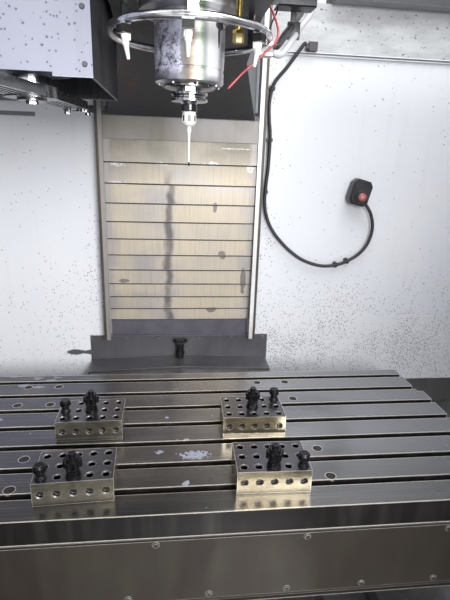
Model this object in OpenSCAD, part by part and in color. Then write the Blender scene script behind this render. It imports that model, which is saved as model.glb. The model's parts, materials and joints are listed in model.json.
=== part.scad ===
// Vertical machining centre: cast base and column, saddle and T-slotted table, travelling
// spindle head behind a telescoping way cover, arm tool changer, sheet enclosure with doors.
// X runs to the right, Y away from the operator, Z up. The origin is on the floor,
// under the middle of the outline; the spindle axis stands on x = 0.

/* [Machine] */
// Overall width of the enclosure
machine_w = 2600; // [2560:20:2720]
// Overall depth, from jog wheel to electrical cabinet, which takes up the difference
machine_d = 2920; // [2900:20:3000]
// Height of the roof's upper face
roof_h = 2043; // [2030:5:2100]
// Thickness of the double-skinned side walls
side_t = 38; // [30:1:44]
// Distance from the spindle axis back to the rear wall
throat = 691; // [680:1:700]
// Height of the cast base's underside above the floor
base_z = 150; // [120:5:180]

/* [Table] */
// Length of the table
table_l = 1420; // [1400:10:1440]
// Depth of the table, front to back
table_w = 590; // [585:1:600]
// Height of the table top above the floor
table_h = 900; // [895:1:905]
// Thickness of the table's edge
table_edge = 55; // [52:1:60]
// Thickness of the whole table casting
table_t = 90; // [84:1:92]
// How far the casting steps in under its edge
table_step = 12; // [8:1:16]
// Width of a T-slot's throat
slot_w = 18; // [14:1:20]
// Depth of a T-slot's throat
slot_throat = 18; // [16:1:22]
// Width of a T-slot's head
slot_head_w = 30; // [26:1:34]
// Height of a T-slot's head
slot_head_h = 13; // [11:1:16]
// Distance between T-slots
slot_pitch = 80; // [78:1:81]
// Number of T-slots
slot_n = 7; // [5:1:7]
// Distance from the table's front edge to the first slot
slot_front = 67; // [60:1:70]
// Diameter of the caps over the table's bolts
cap_d = 22; // [18:1:24]

/* [Travels] */
// Saddle travel towards the operator
y_fore = 390; // [340:10:390]
// Saddle travel towards the column
y_aft = 120; // [80:5:120]
// Head travel down from its upper stop
z_stroke = 490; // [420:10:490]
// Where the table's middle stands at rest, behind the spindle axis
rest_y = 136; // [130:1:140]

/* [Way cover] */
// Number of telescoping panels below the head, the last one carried by it
z_panels = 12; // [12:1:12]
// Height of each panel
panel_h = 80; // [78:1:82]
// Depth that each panel stands proud of the one below
panel_step = 3.5; // [3:0.1:3.5]
// Thickness of the panel sheet
panel_t = 1.2; // [1:0.1:1.5]
// Strip of the lowest moving panel that shows at rest
show_low = 42; // [41:0.5:43]
// How much more each panel above it shows
show_more = 2.48; // [2.4:0.02:2.5]
// Clear width between the channels' front lips
panel_view_w = 480; // [470:2:484]
// Width that a channel's front lip covers
lip_w = 11; // [8:0.5:12]

/* [Spindle] */
// Height of the spindle face above the table at rest
face_h = 757; // [750:1:765]
// Diameter of the housing
housing_d = 119; // [116:1:122]
// Diameter of the housing's lower end
housing_end_d = 117; // [112:1:118]
// Diameter of the rotating nose
nose_d = 88; // [80:1:89]
// Diameter of the tool holder's flange
flange_d = 63.5; // [60:0.5:64]
// Mean radius of the coolant ring
ring_r = 133; // [130:1:134]
// Diameter of the coolant ring's tube
ring_tube = 13; // [10:0.5:15]
// Diameter of the probe body
probe_d = 25; // [24:1:28]
// Length of the probe's stylus
stylus_l = 64; // [56:1:66]

/* [Setup blocks] */
// Length of a setup block
block_l = 152.4; // [150:0.1:154]
// Width of a setup block
block_w = 101.6; // [100:0.1:103]
// Height of a setup block
block_h = 50.8; // [50:0.1:52]
// Diameter of the holes in a block's top
block_hole = 14; // [12:0.5:15]

/* [Tool changer] */
// Distance from the arm's shaft to either tool
arm_r = 265; // [262:1:268]
// Angle that the parked arm stands away from the spindle
arm_park = 80; // [78:1:84]
// Thickness of the swing arm
arm_t = 16; // [14:1:20]

/* [Doors] */
// Width of one sliding door
door_w = 620; // [600:5:625]
// Height of a door
door_h = 1130; // [1100:5:1140]
// Thickness of a door
door_t = 42; // [36:1:44]

/* [Hidden] */
$fn = 48;
eps = 0.01;

// Main planes
front_y = -1460;
back_y = front_y + machine_d;
spindle_y = -480;
wall_y = spindle_y + throat;
half_w = machine_w / 2;
inner_w = half_w - side_t;
table_y = spindle_y + rest_y;
table_front = table_y - table_w / 2;
table_back = table_y + table_w / 2;
table_under = table_h - table_t;
roof_t = 40;
roof_z = roof_h - roof_t;

// Saddle, its guides and ball screws
rail_h = 30;
rail_w = 34;
guide_gap = 12;
guide_w = 74;
guide_l = 90;
run = 0.3;
saddle_top = table_under - rail_h - guide_gap;
saddle_w = 600;
saddle_d = 460;
saddle_t = 130;
saddle_under = saddle_top - saddle_t;
saddle_front = table_y - saddle_d / 2;
saddle_back = table_y + saddle_d / 2;
way_z = saddle_under - rail_h - guide_gap;
deck_z = way_z - 41;
y_rail_x = 225;
y_rail_front = saddle_front - y_fore;
y_rail_back = saddle_back + y_aft;
x_rail_y = 165;
x_rail_half = table_l / 2 - 10;
x_guide_x = 200;
y_guide_y = 170;
screw_r = 16;
y_screw_z = deck_z + 40;
x_screw_z = saddle_top + 14;
screw_in = 134;
trough_half = 62;
nut_half = 45;
motor_half = 38;

// Column, head and way cover
column_front = wall_y + 80;
column_half = 330;
column_top = table_h + 1400;
column_back = 1060;
foot_half = 430;
z_rail_x = 150;
z_screw_y = column_front - 36;
carriage_y = wall_y - 50;
carriage_half = 232;
carriage_z = table_h + 775;
head_under = table_h + 947;
head_top = table_h + 1250;
post_in = panel_view_w / 2 + lip_w;
post_t = 11;
cover_bottom = table_h + 26;
panel_low = table_h + 87;
face_z = table_h + face_h;

// Y way covers: each stage is a gabled hood that slides over the next
hood_w = 312;
hood_peak = table_h - 51;
hood_drop = 13;
hood_t = 3;
hood_in = 6;
hood_play = 0.4;
hood_bottom = deck_z + 4;
hood_overlap = 25;
rear_lip_y = wall_y - 102;
rear_start = table_back + 5;
rear_stage_l = (rear_lip_y - rear_start + y_fore) / 2 + hood_overlap;
rear_stage_y = rear_lip_y + hood_overlap - rear_stage_l + y_fore / 2;
front_w = 297;
front_peak = way_z + 69;
front_lip_y = -1079;
front_stage_l = (saddle_front - front_lip_y + y_aft) / 3 + hood_overlap;

// Enclosure
frame_y = front_y + 231;
frame_t = 30;
bulge_y = frame_y - 101;
bulge_half = 440;
sill_z = 790;
door_half = half_w - 700;
pendant_x = half_w - 110;
pendant_y = frame_y - frame_t - 60;
pendant_top = roof_h + 47;
pendant_w = 440;
pendant_d = 81;
pendant_gap = 34;
key_face = pendant_y - pendant_gap - pendant_d;
knob_z = 1255;
door_top = roof_h - 143;
wall_t = 8;
wall_bottom = table_h - 169;
ledge_z = roof_z - 151;
wall_rib_in = 42;
wall_rib_pitch = 350;
window_x = post_in + post_t;

// Tool changer
arm_x = -arm_r;
arm_top = face_z - 8;
hub_r = 44;
shaft_r = 35;
cover_z = face_z + 1;
cover_right = -151;
cover_left = -860;
cover_step = -480;
disc_x = -690;
disc_z = table_h + 1160;
changer_top = table_h + 1160;
changer_front = -554;
changer_back = -207;
disc_r = 320;

function gable(w, peak, bottom) =
    [[-w, bottom], [-w, peak - hood_drop], [0, peak], [w, peak - hood_drop], [w, bottom]];
function panel_z(i) = panel_low + (i - 1) * show_low + (i - 1) * (i - 2) / 2 * show_more;
function panel_y(i) = wall_y - i * panel_step;

// A block given by its lowest corner and its highest corner
module span(a, b) {
    translate(a) cube([b[0] - a[0], b[1] - a[1], b[2] - a[2]]);
}

// The same shape on both sides of x = 0
module both() {
    children();
    mirror([1, 0, 0]) children();
}

// An outline in (y, z) carried along X from x0 to x1
module along_x(x0, x1) {
    translate([x0, 0, 0]) rotate([90, 0, 90]) linear_extrude(x1 - x0) children();
}

// An outline in (x, z) carried along Y from y0 to y1
module along_y(y0, y1) {
    translate([0, y1, 0]) rotate([90, 0, 0]) linear_extrude(y1 - y0) children();
}

// A round bar along Y
module bar_y(x, y0, y1, z, r) {
    translate([x, y0, z]) rotate([-90, 0, 0]) cylinder(r = r, h = y1 - y0);
}

// A round bar along X
module bar_x(x0, x1, y, z, r) {
    translate([x0, y, z]) rotate([0, 90, 0]) cylinder(r = r, h = x1 - x0);
}

// Low round screw heads on a face that looks towards -Y
module screw_heads(points, y, r = 5, h = 2.5) {
    for (p = points) translate([p[0], y, p[1]]) rotate([90, 0, 0]) cylinder(r1 = r, r2 = r * 0.7, h = h);
}

// A smooth route through chosen points
function on_curve(p, i, t) =
    let (a = p[max(i - 1, 0)], b = p[i], c = p[i + 1], d = p[min(i + 2, len(p) - 1)])
    0.5 * ((2 * b) + (c - a) * t + (2 * a - 5 * b + 4 * c - d) * t * t + (3 * b - a - 3 * c + d) * t * t * t);
function smooth(p, steps) = [
    for (i = [0 : len(p) - 2]) for (s = [0 : steps - 1]) on_curve(p, i, s / steps), p[len(p) - 1]
];
function unit(v) = v / norm(v);
function heading(q, i) = unit(q[min(i + 1, len(q) - 1)] - q[max(i - 1, 0)]);
function square_to(v, up) = unit(cross(v, cross(up, v)));

// A round tube swept along a route, with a ring at every point of it
module tube(route, d, steps = 3, sides = 8, up = [0.1, 1, 0.2]) {
    q = smooth(route, steps);
    n = len(q);
    rings = [
        for (i = [0 : n - 1])
            let (t = heading(q, i), u = square_to(t, up), v = cross(t, u))
            for (k = [0 : sides - 1]) q[i] + d / 2 * (cos(360 * k / sides) * u + sin(360 * k / sides) * v)
    ];
    walls = [
        for (i = [0 : n - 2]) for (k = [0 : sides - 1])
            let (a = i * sides + k, b = i * sides + (k + 1) % sides)
            [a, a + sides, b + sides, b]
    ];
    polyhedron(
        points = rings,
        faces = concat(walls, [[for (k = [0 : sides - 1]) k]],
            [[for (k = [sides - 1 : -1 : 0]) (n - 1) * sides + k]])
    );
}

// One gabled hood, open at both ends, with a lip inside its edge at lip_y that wipes the next hood
module hood(w, peak, y0, y1, lip_y) {
    lip = hood_t + hood_in - hood_t - hood_play;
    difference() {
        along_y(y0, y1) polygon(gable(w, peak, hood_bottom));
        along_y(y0 - 1, y1 + 1) polygon(gable(w - hood_t, peak - hood_t, hood_bottom - 1));
    }
    if (lip_y != undef) difference() {
        along_y(lip_y, lip_y + 4) polygon(gable(w - 1, peak - 1, hood_bottom));
        along_y(lip_y - 1, lip_y + 5) polygon(gable(w - lip, peak - lip, hood_bottom - 1));
    }
}

// A recirculating guide block's outline that straddles a rail, seen along the rail, block upwards
module guide_outline() {
    difference() {
        translate([-guide_w / 2, 8]) square([guide_w, rail_h + guide_gap - 8]);
        translate([-rail_w / 2 - run, 0]) square([rail_w + 2 * run, rail_h + run]);
    }
}

// A rail's outline with its waist
module rail_outline() {
    a = rail_w / 2;
    polygon([[-a, 0], [a, 0], [a, 8], [a - 4, 12], [a - 4, 20], [a, 24], [a, rail_h],
        [-a, rail_h], [-a, 24], [-a + 4, 20], [-a + 4, 12], [-a, 8]]);
}

// A square servo motor whose shaft end is at z = 0, body above it
module servo(half, l) {
    span([-half, -half, 0], [half, half, 12]);
    span([-half + 5, -half + 5, 12], [half - 5, half - 5, l - 46]);
    cylinder(r = half - 8, h = l - 4);
    span([-half + 14, -half + 14, l - 46], [half - 14, half - 14, l]);
    translate([half - 14, 0, l - 70]) rotate([0, 90, 0]) cylinder(r = 14, h = 26);
}

// A ball screw from z = 0 to l, with journals and a row of ring grooves for its thread
module ballscrew(l, pitch) {
    rotate_extrude() polygon(concat(
        [[0, 0], [screw_r - 5, 0], [screw_r - 5, 56], [screw_r, 56]],
        [for (z = [64 : pitch : l - 80]) each [[screw_r, z], [screw_r - 1.6, z + pitch * 0.3],
            [screw_r - 1.6, z + pitch * 0.5], [screw_r, z + pitch * 0.8]]],
        [[screw_r, l - 56], [screw_r - 5, l - 56], [screw_r - 5, l], [0, l]]
    ));
}

module base_casting() {
    foot = 300;
    color("#8d9197") difference() {
        union() {
            span([-foot, y_rail_front - 230, base_z], [foot, wall_y + 60, deck_z - 30]);
            span([-foot + 20, y_rail_front - 230, deck_z - 31], [foot - 20, wall_y + 60, deck_z]);
            along_y(wall_y + 50, column_back + 30)
                polygon([[-foot_half - 40, base_z], [foot_half + 40, base_z],
                [foot_half + 40, deck_z - 60], [foot_half, deck_z], [-foot_half, deck_z],
                    [-foot_half - 40, deck_z - 60]]);
            for (s = [-1, 1]) span([s * y_rail_x - rail_w, y_rail_front - 10, deck_z - eps],
                [s * y_rail_x + rail_w, y_rail_back + 10, way_z]);
            both() for (y = [y_rail_front - 170, -100, column_back - 60])
                span([foot - 20, y - 70, base_z], [foot + 170, y + 70, base_z + 60]);
            both() for (y = [y_rail_front - 170, -100, column_back - 60]) for (d = [-56, 42])
                along_y(y + d, y + d + 14)
                    polygon([[foot - 10, base_z + 50], [foot + 150, base_z + 50], [foot - 10, deck_z - 90]]);
        }
        span([-90, y_rail_front - 30, deck_z - 65], [90, 640, deck_z + 1]);
        both() for (y = [y_rail_front + 40 : 260 : wall_y - 200])
            span([foot - 40, y - 90, base_z + 90], [foot + 20, y + 90, deck_z - 110]);
        both() for (y = [wall_y + 190 : 330 : column_back - 130])
            span([foot_half - 10, y - 110, base_z + 90], [foot_half + 60, y + 110, deck_z - 130]);
        both() for (y = [y_rail_front - 170, -100, column_back - 60])
            translate([foot + 120, y, base_z - 1]) cylinder(r = 20, h = 80);
        both() span([foot + 70, column_back - 110, base_z + 60],
            [foot_half + 41, column_back - 10, base_z + 190]);
    }
}

module levelling_pads() {
    color("#4b4f55") both() for (y = [y_rail_front - 170, -100, column_back - 60]) translate([420, y, 0]) {
        rotate_extrude() polygon([[0, 0], [70, 0], [70, 14], [46, 30], [0, 30]]);
        cylinder(r = 16, h = base_z + 120);
        translate([0, 0, base_z - 34]) cylinder(r = 34, h = 34, $fn = 6);
        translate([0, 0, base_z + 60]) cylinder(r = 34, h = 26, $fn = 6);
    }
}

module column() {
    niche = hood_w + 12;
    color("#c9ccd2") difference() {
        union() {
            intersection() {
                along_x(-foot_half, foot_half) polygon([[column_front, deck_z], [column_back, deck_z],
                    [column_back, 760], [760, column_top - 60], [720, column_top],
                        [column_front, column_top]]);
                along_y(column_front - 10, column_back + 10)
                    polygon([[-foot_half, deck_z - 1], [foot_half, deck_z - 1],
                    [foot_half, 860], [column_half, 1120], [column_half, column_top + 1],
                        [-column_half, column_top + 1],
                    [-column_half, 1120], [-foot_half, 860]]);
            }
            both() span([z_rail_x - 40, column_front - 12, carriage_z - z_stroke - 60],
                [z_rail_x + 40, column_front + 1, head_top + 20]);
        }
        span([-niche, column_front - 1, deck_z - 1], [niche, wall_y + 190, hood_peak + 14]);
        span([-90, wall_y + 189, deck_z - 1], [90, 640, deck_z + 130]);
        span([-75, column_front - 1, carriage_z - z_stroke - 130], [75, column_front + 40, head_top + 60]);
        for (z = [column_top - 1120 : 320 : column_top - 480]) along_x(-column_half - 1, column_half + 1)
            polygon([[column_front + 120, z], [720, z], [720 - 40, z + 210], [column_front + 120, z + 210]]);
        span([-200, 560, 900], [200, 1100, 1900]);
    }
}

module guideways() {
    color("#aab0b6") {
        for (s = [-1, 1]) along_y(y_rail_front, y_rail_back) translate([s * y_rail_x, way_z]) rail_outline();
        for (s = [-1, 1]) translate([s * z_rail_x, column_front - 12, carriage_z - z_stroke - 20])
            linear_extrude(head_top + z_stroke - carriage_z) rotate(180) rail_outline();
    }
}

module servo_motors() {
    color("#26282c") {
        translate([0, 470, y_screw_z]) rotate([-90, 0, 0]) servo(58, 150);
        translate([0, z_screw_y, column_top + 25]) servo(72, 220);
    }
    color("#8d9197") {
        for (y = [y_rail_front - 24, 420]) difference() {
            span([-60, y, deck_z - 65], [60, y + 50, y_screw_z + 26]);
            bar_y(0, y - 1, y + 51, y_screw_z, screw_r - 5 + run);
        }
        difference() {
            span([-110, z_screw_y - 75, column_top], [110, column_front + 130, column_top + 25]);
            translate([0, z_screw_y, column_top - 1]) cylinder(r = screw_r - 5 + run, h = 27);
        }
        difference() {
            span([-70, z_screw_y - 30, carriage_z - z_stroke - 90],
                [70, column_front + 40, carriage_z - z_stroke - 40]);
            translate([0, z_screw_y, carriage_z - z_stroke - 91]) cylinder(r = screw_r - 5 + run, h = 52);
        }
    }
}

// The rear wall's section: flat sheet, ledge, sloped sheet and upper band
module wall_section() {
    polygon([[wall_y, wall_bottom], [wall_y + wall_t, wall_bottom], [wall_y + wall_t, ledge_z + 4],
        [wall_y + wall_t + 25, ledge_z + 109], [wall_y + wall_t + 25, roof_z], [wall_y + 25, roof_z],
        [wall_y + 25, ledge_z + 110], [wall_y, ledge_z + 8], [wall_y - 14, ledge_z + 8],
        [wall_y - 14, ledge_z + 5], [wall_y, ledge_z + 5], [wall_y, ledge_z + 1], [wall_y - 9, ledge_z + 1],
        [wall_y - 9, ledge_z - 2], [wall_y, ledge_z - 2]]);
}

module rear_walls() {
    color("#d9dbe2") {
        difference() {
            both() along_x(window_x, inner_w) wall_section();
            span([-hood_w - 6, wall_y - 20, wall_bottom - 1],
                [hood_w + 6, wall_y + wall_t + 1, hood_peak + 3]);
        }
        both() span([hood_w + 20, wall_y + wall_t, wall_bottom],
            [inner_w, wall_y + wall_t + 40, wall_bottom + 3]);
        both() for (k = [0 : 2]) translate([inner_w - wall_rib_in - k * wall_rib_pitch, wall_y + wall_t, 0])
            span([-15, 0, wall_bottom + 3], [15, 36, ledge_z - 3]);
        both() for (x = [window_x + 60 : 300 : inner_w - 20])
            screw_heads([[x, ledge_z - 16], [x + 20, ledge_z - 16]], wall_y, 4);
    }
    color("#3a3d42") for (z = [table_h + 743, table_h + 784])
        span([-inner_w + 400, wall_y - 1.5, z], [-443, wall_y, z + 12]);
}

// Rear apron: plate on the wall with a gabled hood folded out over the way cover
module rear_apron() {
    half = hood_w + 5;
    color("#c4c7cd") {
        difference() {
            span([-half, wall_y - 3, hood_peak - 90], [half, wall_y, cover_bottom]);
            along_y(wall_y - 4, wall_y + 1) polygon(gable(hood_w - hood_t, hood_peak - hood_t, hood_bottom));
        }
        hood(hood_w, hood_peak, rear_lip_y, wall_y + 60, rear_lip_y);
        both() span([hood_w - 1, rear_lip_y, hood_peak - 90], [hood_w + 14, wall_y - 3, hood_peak - 87]);
    }
    color("#8d9197") screw_heads([for (x = [-313, -192, -79, 70, 183, 300]) [x, table_h + 16]],
        wall_y - 3, 5);
}

module flush_nozzle() {
    color("#1d1e20") translate([-2, wall_y - 3, table_h]) {
        rotate([90, 0, 0]) linear_extrude(10)
            polygon([[-27, 6], [-20, 14], [20, 14], [27, 6], [20, -3], [-20, -3]]);
        translate([0, -24, hood_peak + 2 - table_h]) difference() {
            cylinder(r = 13, h = 52);
            translate([0, 0, -1]) cylinder(r = 6, h = 30);
        }
        span([-14, -24, -20], [14, -9, 12]);
        translate([0, -24, -36]) cylinder(r = 16, h = 8);
    }
}

module z_cover_frame() {
    color("#b9bcc2") {
        both() {
            span([post_in, wall_y - 47, cover_bottom], [post_in + post_t, wall_y + wall_t + 3, roof_z]);
            span([post_in - lip_w, wall_y - 47, cover_bottom], [post_in + 1, wall_y - 43.6, roof_z]);
            span([post_in, wall_y + wall_t, cover_bottom], [post_in + post_t + 24, wall_y + wall_t + 3,
                ledge_z]);
        }
        span([-post_in, wall_y - panel_t, cover_bottom], [post_in, wall_y, cover_bottom + panel_h - 14]);
        span([-post_in, wall_y - 14, cover_bottom], [post_in, wall_y, cover_bottom + 3]);
        span([-post_in, wall_y, hood_peak + 4], [post_in, wall_y + 3, cover_bottom + 40]);
    }
}

// Chip pan: two floors that fall to flumes beside the bed, and the fixed front hood
module chip_pan() {
    inner = hood_w + 10;
    color("#9ea3a9") {
        both() along_y(frame_y + frame_t, wall_y + wall_t) translate([0, deck_z])
            polygon([[inner_w, 85], [inner_w, 82], [inner + 136, 3], [inner + 136, -55], [inner, -55],
                [inner, 14],
                [inner + 3, 14], [inner + 3, -52], [inner + 133, -52], [inner + 133, 5]]);
        both() span([inner + 136, wall_y + wall_t, deck_z + 7], [inner_w, wall_y + wall_t + 3, wall_bottom]);
        hood(front_w, front_peak, frame_y, front_lip_y, front_lip_y - 4);
    }
}

// Outer skins: side walls with ribs folded in, and strips of roof round the open middle
module enclosure_panels() {
    side_back = 420;
    color("#d4d6dc") both() {
        difference() {
            span([inner_w, frame_y, base_z + 20], [half_w, side_back, roof_h]);
            span([inner_w + 3, frame_y + 60, base_z + 60], [half_w - 3, side_back - 60, roof_h - 60]);
            span([half_w - 6, -260, base_z + 100], [half_w + 1, 140, base_z + 460]);
        }
        span([half_w - 6, -270, base_z + 90], [half_w - 3, 150, base_z + 470]);
        for (z = [base_z + 150 : 40 : base_z + 420]) along_y(-220, 100)
            polygon([[half_w - 4, z], [half_w + 6, z - 8], [half_w + 6, z - 5], [half_w - 4, z + 4]]);
    }
    color("#3b3e44") {
        both() span([460, wall_y + wall_t + 25, roof_z - 90], [inner_w, wall_y + 90, roof_z]);
        both() span([inner_w - 130, frame_y + 200, roof_z], [inner_w, wall_y + 25, roof_h]);
        both() span([460, wall_y - 30, roof_z], [inner_w - 130, wall_y + 90, roof_h]);
        span([-inner_w, frame_y, roof_z], [inner_w, frame_y + 200, roof_h]);
    }
}

// Front of the enclosure: posts, header with door rail, sill and the housing of the front covers
module enclosure_front() {
    color("#dcdee3") {
        difference() {
            span([-half_w, frame_y - frame_t, base_z + 20], [half_w, frame_y, roof_h]);
            span([-door_half, frame_y - frame_t - 1, sill_z], [door_half, frame_y + 1, door_top]);
            span([-front_w - 10, frame_y - frame_t - 1, deck_z - 35],
                [front_w + 10, frame_y + 1, front_peak + 25]);
        }
        difference() {
            along_x(-bulge_half, bulge_half) polygon([[frame_y - frame_t, deck_z - 295],
                [bulge_y - 6, deck_z - 255], [bulge_y - 6, front_peak + 35],
                    [frame_y - frame_t, front_peak + 105]]);
            along_x(-bulge_half + 12, bulge_half - 12)
                polygon([[frame_y + 1, deck_z - 275], [bulge_y + 6, deck_z - 235],
                [bulge_y + 6, front_peak + 25], [frame_y + 1, front_peak + 85]]);
            span([-bulge_half + 12, frame_y - frame_t, deck_z - 35],
                [bulge_half - 12, frame_y, front_peak + 25]);
        }
        along_x(-door_half, door_half) polygon([[frame_y, sill_z - 60], [frame_y + 190, sill_z - 60],
            [frame_y + 190, sill_z - 57], [frame_y + 3, sill_z - 3], [frame_y, sill_z - 3]]);
    }
    color("#3b3e44") {
        span([-half_w + 20, frame_y - frame_t - 54, door_top + 34],
            [half_w - 20, frame_y - frame_t, door_top + 90]);
        span([-half_w + 20, frame_y - frame_t - 50, sill_z - 22],
            [half_w - 20, frame_y - frame_t, sill_z - 16]);
        for (x = [-half_w + 30, half_w - 42]) span([x, frame_y - frame_t - 50, sill_z - 60],
            [x + 12, frame_y - frame_t, sill_z - 22]);
        span([pendant_x - 60, frame_y - frame_t - 40, pendant_top - 130],
            [pendant_x + 60, frame_y - frame_t, pendant_top - 60]);
        translate([pendant_x, pendant_y, pendant_top - 130]) cylinder(r = 34, h = 70);
    }
}

module electrical_cabinet() {
    w = 460;
    front = column_back + 60;
    color("#d4d6dc") {
        difference() {
            span([-w, front, 300], [w, back_y - 14, 1960]);
            span([-w + 20, back_y - 40, 340], [w - 20, back_y - 13, 1920]);
        }
        for (s = [-1, 1]) span([s > 0 ? 4 : -w + 24, back_y - 40, 344],
            [s > 0 ? w - 24 : -4, back_y - 12, 1916]);
        for (z = [420 : 34 : 640]) along_x(-380, -80)
            polygon([[back_y - 13, z], [back_y - 2, z - 10], [back_y - 2, z - 6], [back_y - 13, z + 6]]);
    }
    color("#2a2c30") {
        translate([60, back_y - 12, 1180]) span([0, -1, -70], [26, 12, 70]);
        both() span([w - 100, column_back + 30, 320], [w - 60, front, 400]);
        both() span([w - 100, column_back + 30, 282], [w - 60, back_y - 60, 300]);
    }
}

module tool_changer_cover() {
    t = 3;
    color("#cfd1dc") {
        difference() {
            span([cover_step - t, changer_front, cover_z], [cover_right, changer_back, changer_top]);
            span([cover_step - t - 1, changer_front + t, cover_z - 1],
                [cover_right - t, changer_back - t, changer_top - t]);
            span([arm_x - shaft_r - 8, changer_front - 1, cover_z - 1],
                [arm_x + shaft_r + 18, changer_front + t + 1, cover_z + 6]);
        }
        difference() {
            span([cover_left, -860, cover_z], [cover_step, -92, disc_z + 400]);
            span([cover_left + t, -860 + t, cover_z + t], [cover_step - t, -92 - t, disc_z + 400 - t]);
            span([cover_step - t - 1, changer_front + t, cover_z - 1],
                [cover_step + 1, changer_back - t, changer_top - t]);
            span([cover_step - 120, changer_front + t, cover_z - 1], [cover_step + 1, -400, cover_z + t + 1]);
        }
        screw_heads([for (x = [cover_step + 20, cover_right - 12]) for (z = [19, 97, 240, 380])
            [x, cover_z + z]], changer_front, 4.5);
    }
    color("#8d9197") {
        span([cover_left + 200, -92, roof_h + 50], [cover_left + 290, column_front + 160, roof_h + 150]);
        span([cover_left + 200, column_front + 70, roof_h + 50],
            [-column_half, column_front + 160, roof_h + 150]);
    }
    color("#3b3e44") for (z = [disc_z - 200 : 46 : disc_z + 200])
        span([cover_left - 4, -700, z], [cover_left + 1, -250, z + 16]);
}

module arm_gearbox() {
    color("#8d9197") {
        difference() {
            union() {
                span([arm_x - 95, spindle_y - 70, cover_z + 150],
                    [arm_x + 95, spindle_y + 150, cover_z + 360]);
                translate([arm_x, spindle_y, cover_z + 12]) cylinder(r = 62, h = 145);
                translate([arm_x, spindle_y, cover_z + 12]) cylinder(r = 69, h = 14);
            }
            translate([arm_x, spindle_y, cover_z + 11]) cylinder(r = shaft_r + run, h = 400);
        }
        span([arm_x - 90, spindle_y + 140, cover_z + 170], [arm_x + 90, changer_back - 3, cover_z + 182]);
    }
    color("#26282c") translate([arm_x + 20, spindle_y + 148, cover_z + 270]) rotate([-90, 0, 0])
        cylinder(r = 52, h = 116);
}

module probe_receiver() {
    y = wall_y;
    shell = [[-34, -28], [-22, -42], [22, -42], [34, -28], [34, 28], [22, 42], [-22, 42], [-34, 28]];
    color("#1f2023") {
        translate([receiver_x, y, receiver_z]) rotate([90, 0, 0]) rotate(-14) {
            cylinder(r = 26, h = 13);
            translate([0, 0, 12]) linear_extrude(30) polygon(shell);
            translate([0, 0, 41]) linear_extrude(9) polygon([for (p = shell) p * 0.84]);
            translate([2, -13, 49]) cylinder(r1 = 23, r2 = 19, h = 8);
        }
        translate([receiver_x + 19, y - 22, receiver_z - 29]) rotate([0, gland_turn, 0])
            cylinder(r = 9, h = 14);
        span([384, y - 32, ledge_z + 8], [410, y - 2, ledge_z + 33]);
        translate([384.2, y - 21, ledge_z + 19]) rotate([0, -90, 0]) cylinder(r = 10, h = 8, $fn = 6);
    }
    color("#d98a93") translate([receiver_x, y, receiver_z]) rotate([90, 0, 0]) rotate(-14)
        translate([2, -13, 56]) cylinder(r1 = 14, r2 = 11, h = 4);
    color("#1f2023") for (k = [14, 23, 30, 50, 52]) translate(cable_line[k])
        rotate([0, atan2(heading(cable_line, k)[0], heading(cable_line, k)[2]), 0]) difference() {
            span([-9, -9, -5], [9, cable_off, 5]);
            cylinder(d = cable_d + 2 * run, h = 24, center = true);
        }
}
receiver_x = 595;
receiver_z = 1443;
gland_turn = 142.3;
cable_d = 12;
cable_off = 10;
// Where the cable runs on the wall: across, off the wall, up
cable_line = smooth([for (p = [[374, 21, ledge_z + 18.6], [368, 21, ledge_z + 17.4],
    [356, 20.5, ledge_z + 1], [341, 19, ledge_z - 20],
    [319, 14, 1809], [301, 10, 1788], [288, 10, 1771], [280, 10, 1752], [275, 10, 1728], [273, 10, 1697],
        [276, 10, 1655],
    [281, 10, 1620], [282, 10, 1575], [281, 10, 1512], [278, 10, 1472], [276, 10, 1436], [276, 10, 1404],
        [282, 10, 1367],
    [296, 10, 1330], [317, 10, 1297], [344, 10, 1267], [375, 10, 1239], [411, 10, 1214], [450, 10, 1197],
        [497, 10, 1187],
    [543, 10, 1191], [583, 10, 1205], [621, 12, 1231], [646, 14, 1264], [657, 16, 1303], [656, 18, 1338],
        [645, 21, 1370],
    [634, 22, 1388], [623, 22, 1402.2]]) [p[0], wall_y - p[1], p[2]]], 2);

module receiver_cable() {
    color("#2a2b2e") tube(cable_line, cable_d, 1, 8, [0, 1, 0]);
}

module saddle() {
    color("#8d9197") {
        difference() {
            span([-saddle_w / 2, saddle_front, saddle_under], [saddle_w / 2, saddle_back, saddle_top]);
            span([-saddle_w / 2 - 1, table_y - trough_half, saddle_top - 56],
                [saddle_w / 2 + 1, table_y + trough_half, saddle_top + 1]);
            both() for (y = [saddle_front - 1, saddle_back - 29])
                span([60, y, saddle_under + 24], [saddle_w / 2 - 40, y + 30, saddle_top - 30]);
            span([-saddle_w / 2 - 1, saddle_front + 60, saddle_under + 20],
                [-saddle_w / 2 + 22, saddle_back - 60, saddle_top - 76]);
            span([saddle_w / 2 - 22, saddle_front + 60, saddle_under + 20],
                [saddle_w / 2 + 1, saddle_back - 60, saddle_top - 76]);
        }
        for (s = [-1, 1]) for (t = [-1, 1]) {
            along_y(table_y + t * y_guide_y - guide_l / 2, table_y + t * y_guide_y + guide_l / 2)
                translate([s * y_rail_x, way_z]) guide_outline();
            along_x(s * x_guide_x - guide_l / 2, s * x_guide_x + guide_l / 2)
                translate([table_y + t * x_rail_y, table_under]) rotate(180) guide_outline();
        }
        difference() {
            span([-nut_half, table_y - 60, y_screw_z - 30], [nut_half, table_y + 60, saddle_under]);
            bar_y(0, table_y - 61, table_y + 61, y_screw_z, screw_r + run);
        }
        difference() {
            span([-nut_half, table_y - 36, saddle_top - 57], [nut_half, table_y + 36, table_under - 3]);
            bar_x(-nut_half - 1, nut_half + 1, table_y, x_screw_z, screw_r + run);
        }
    }
}

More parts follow.
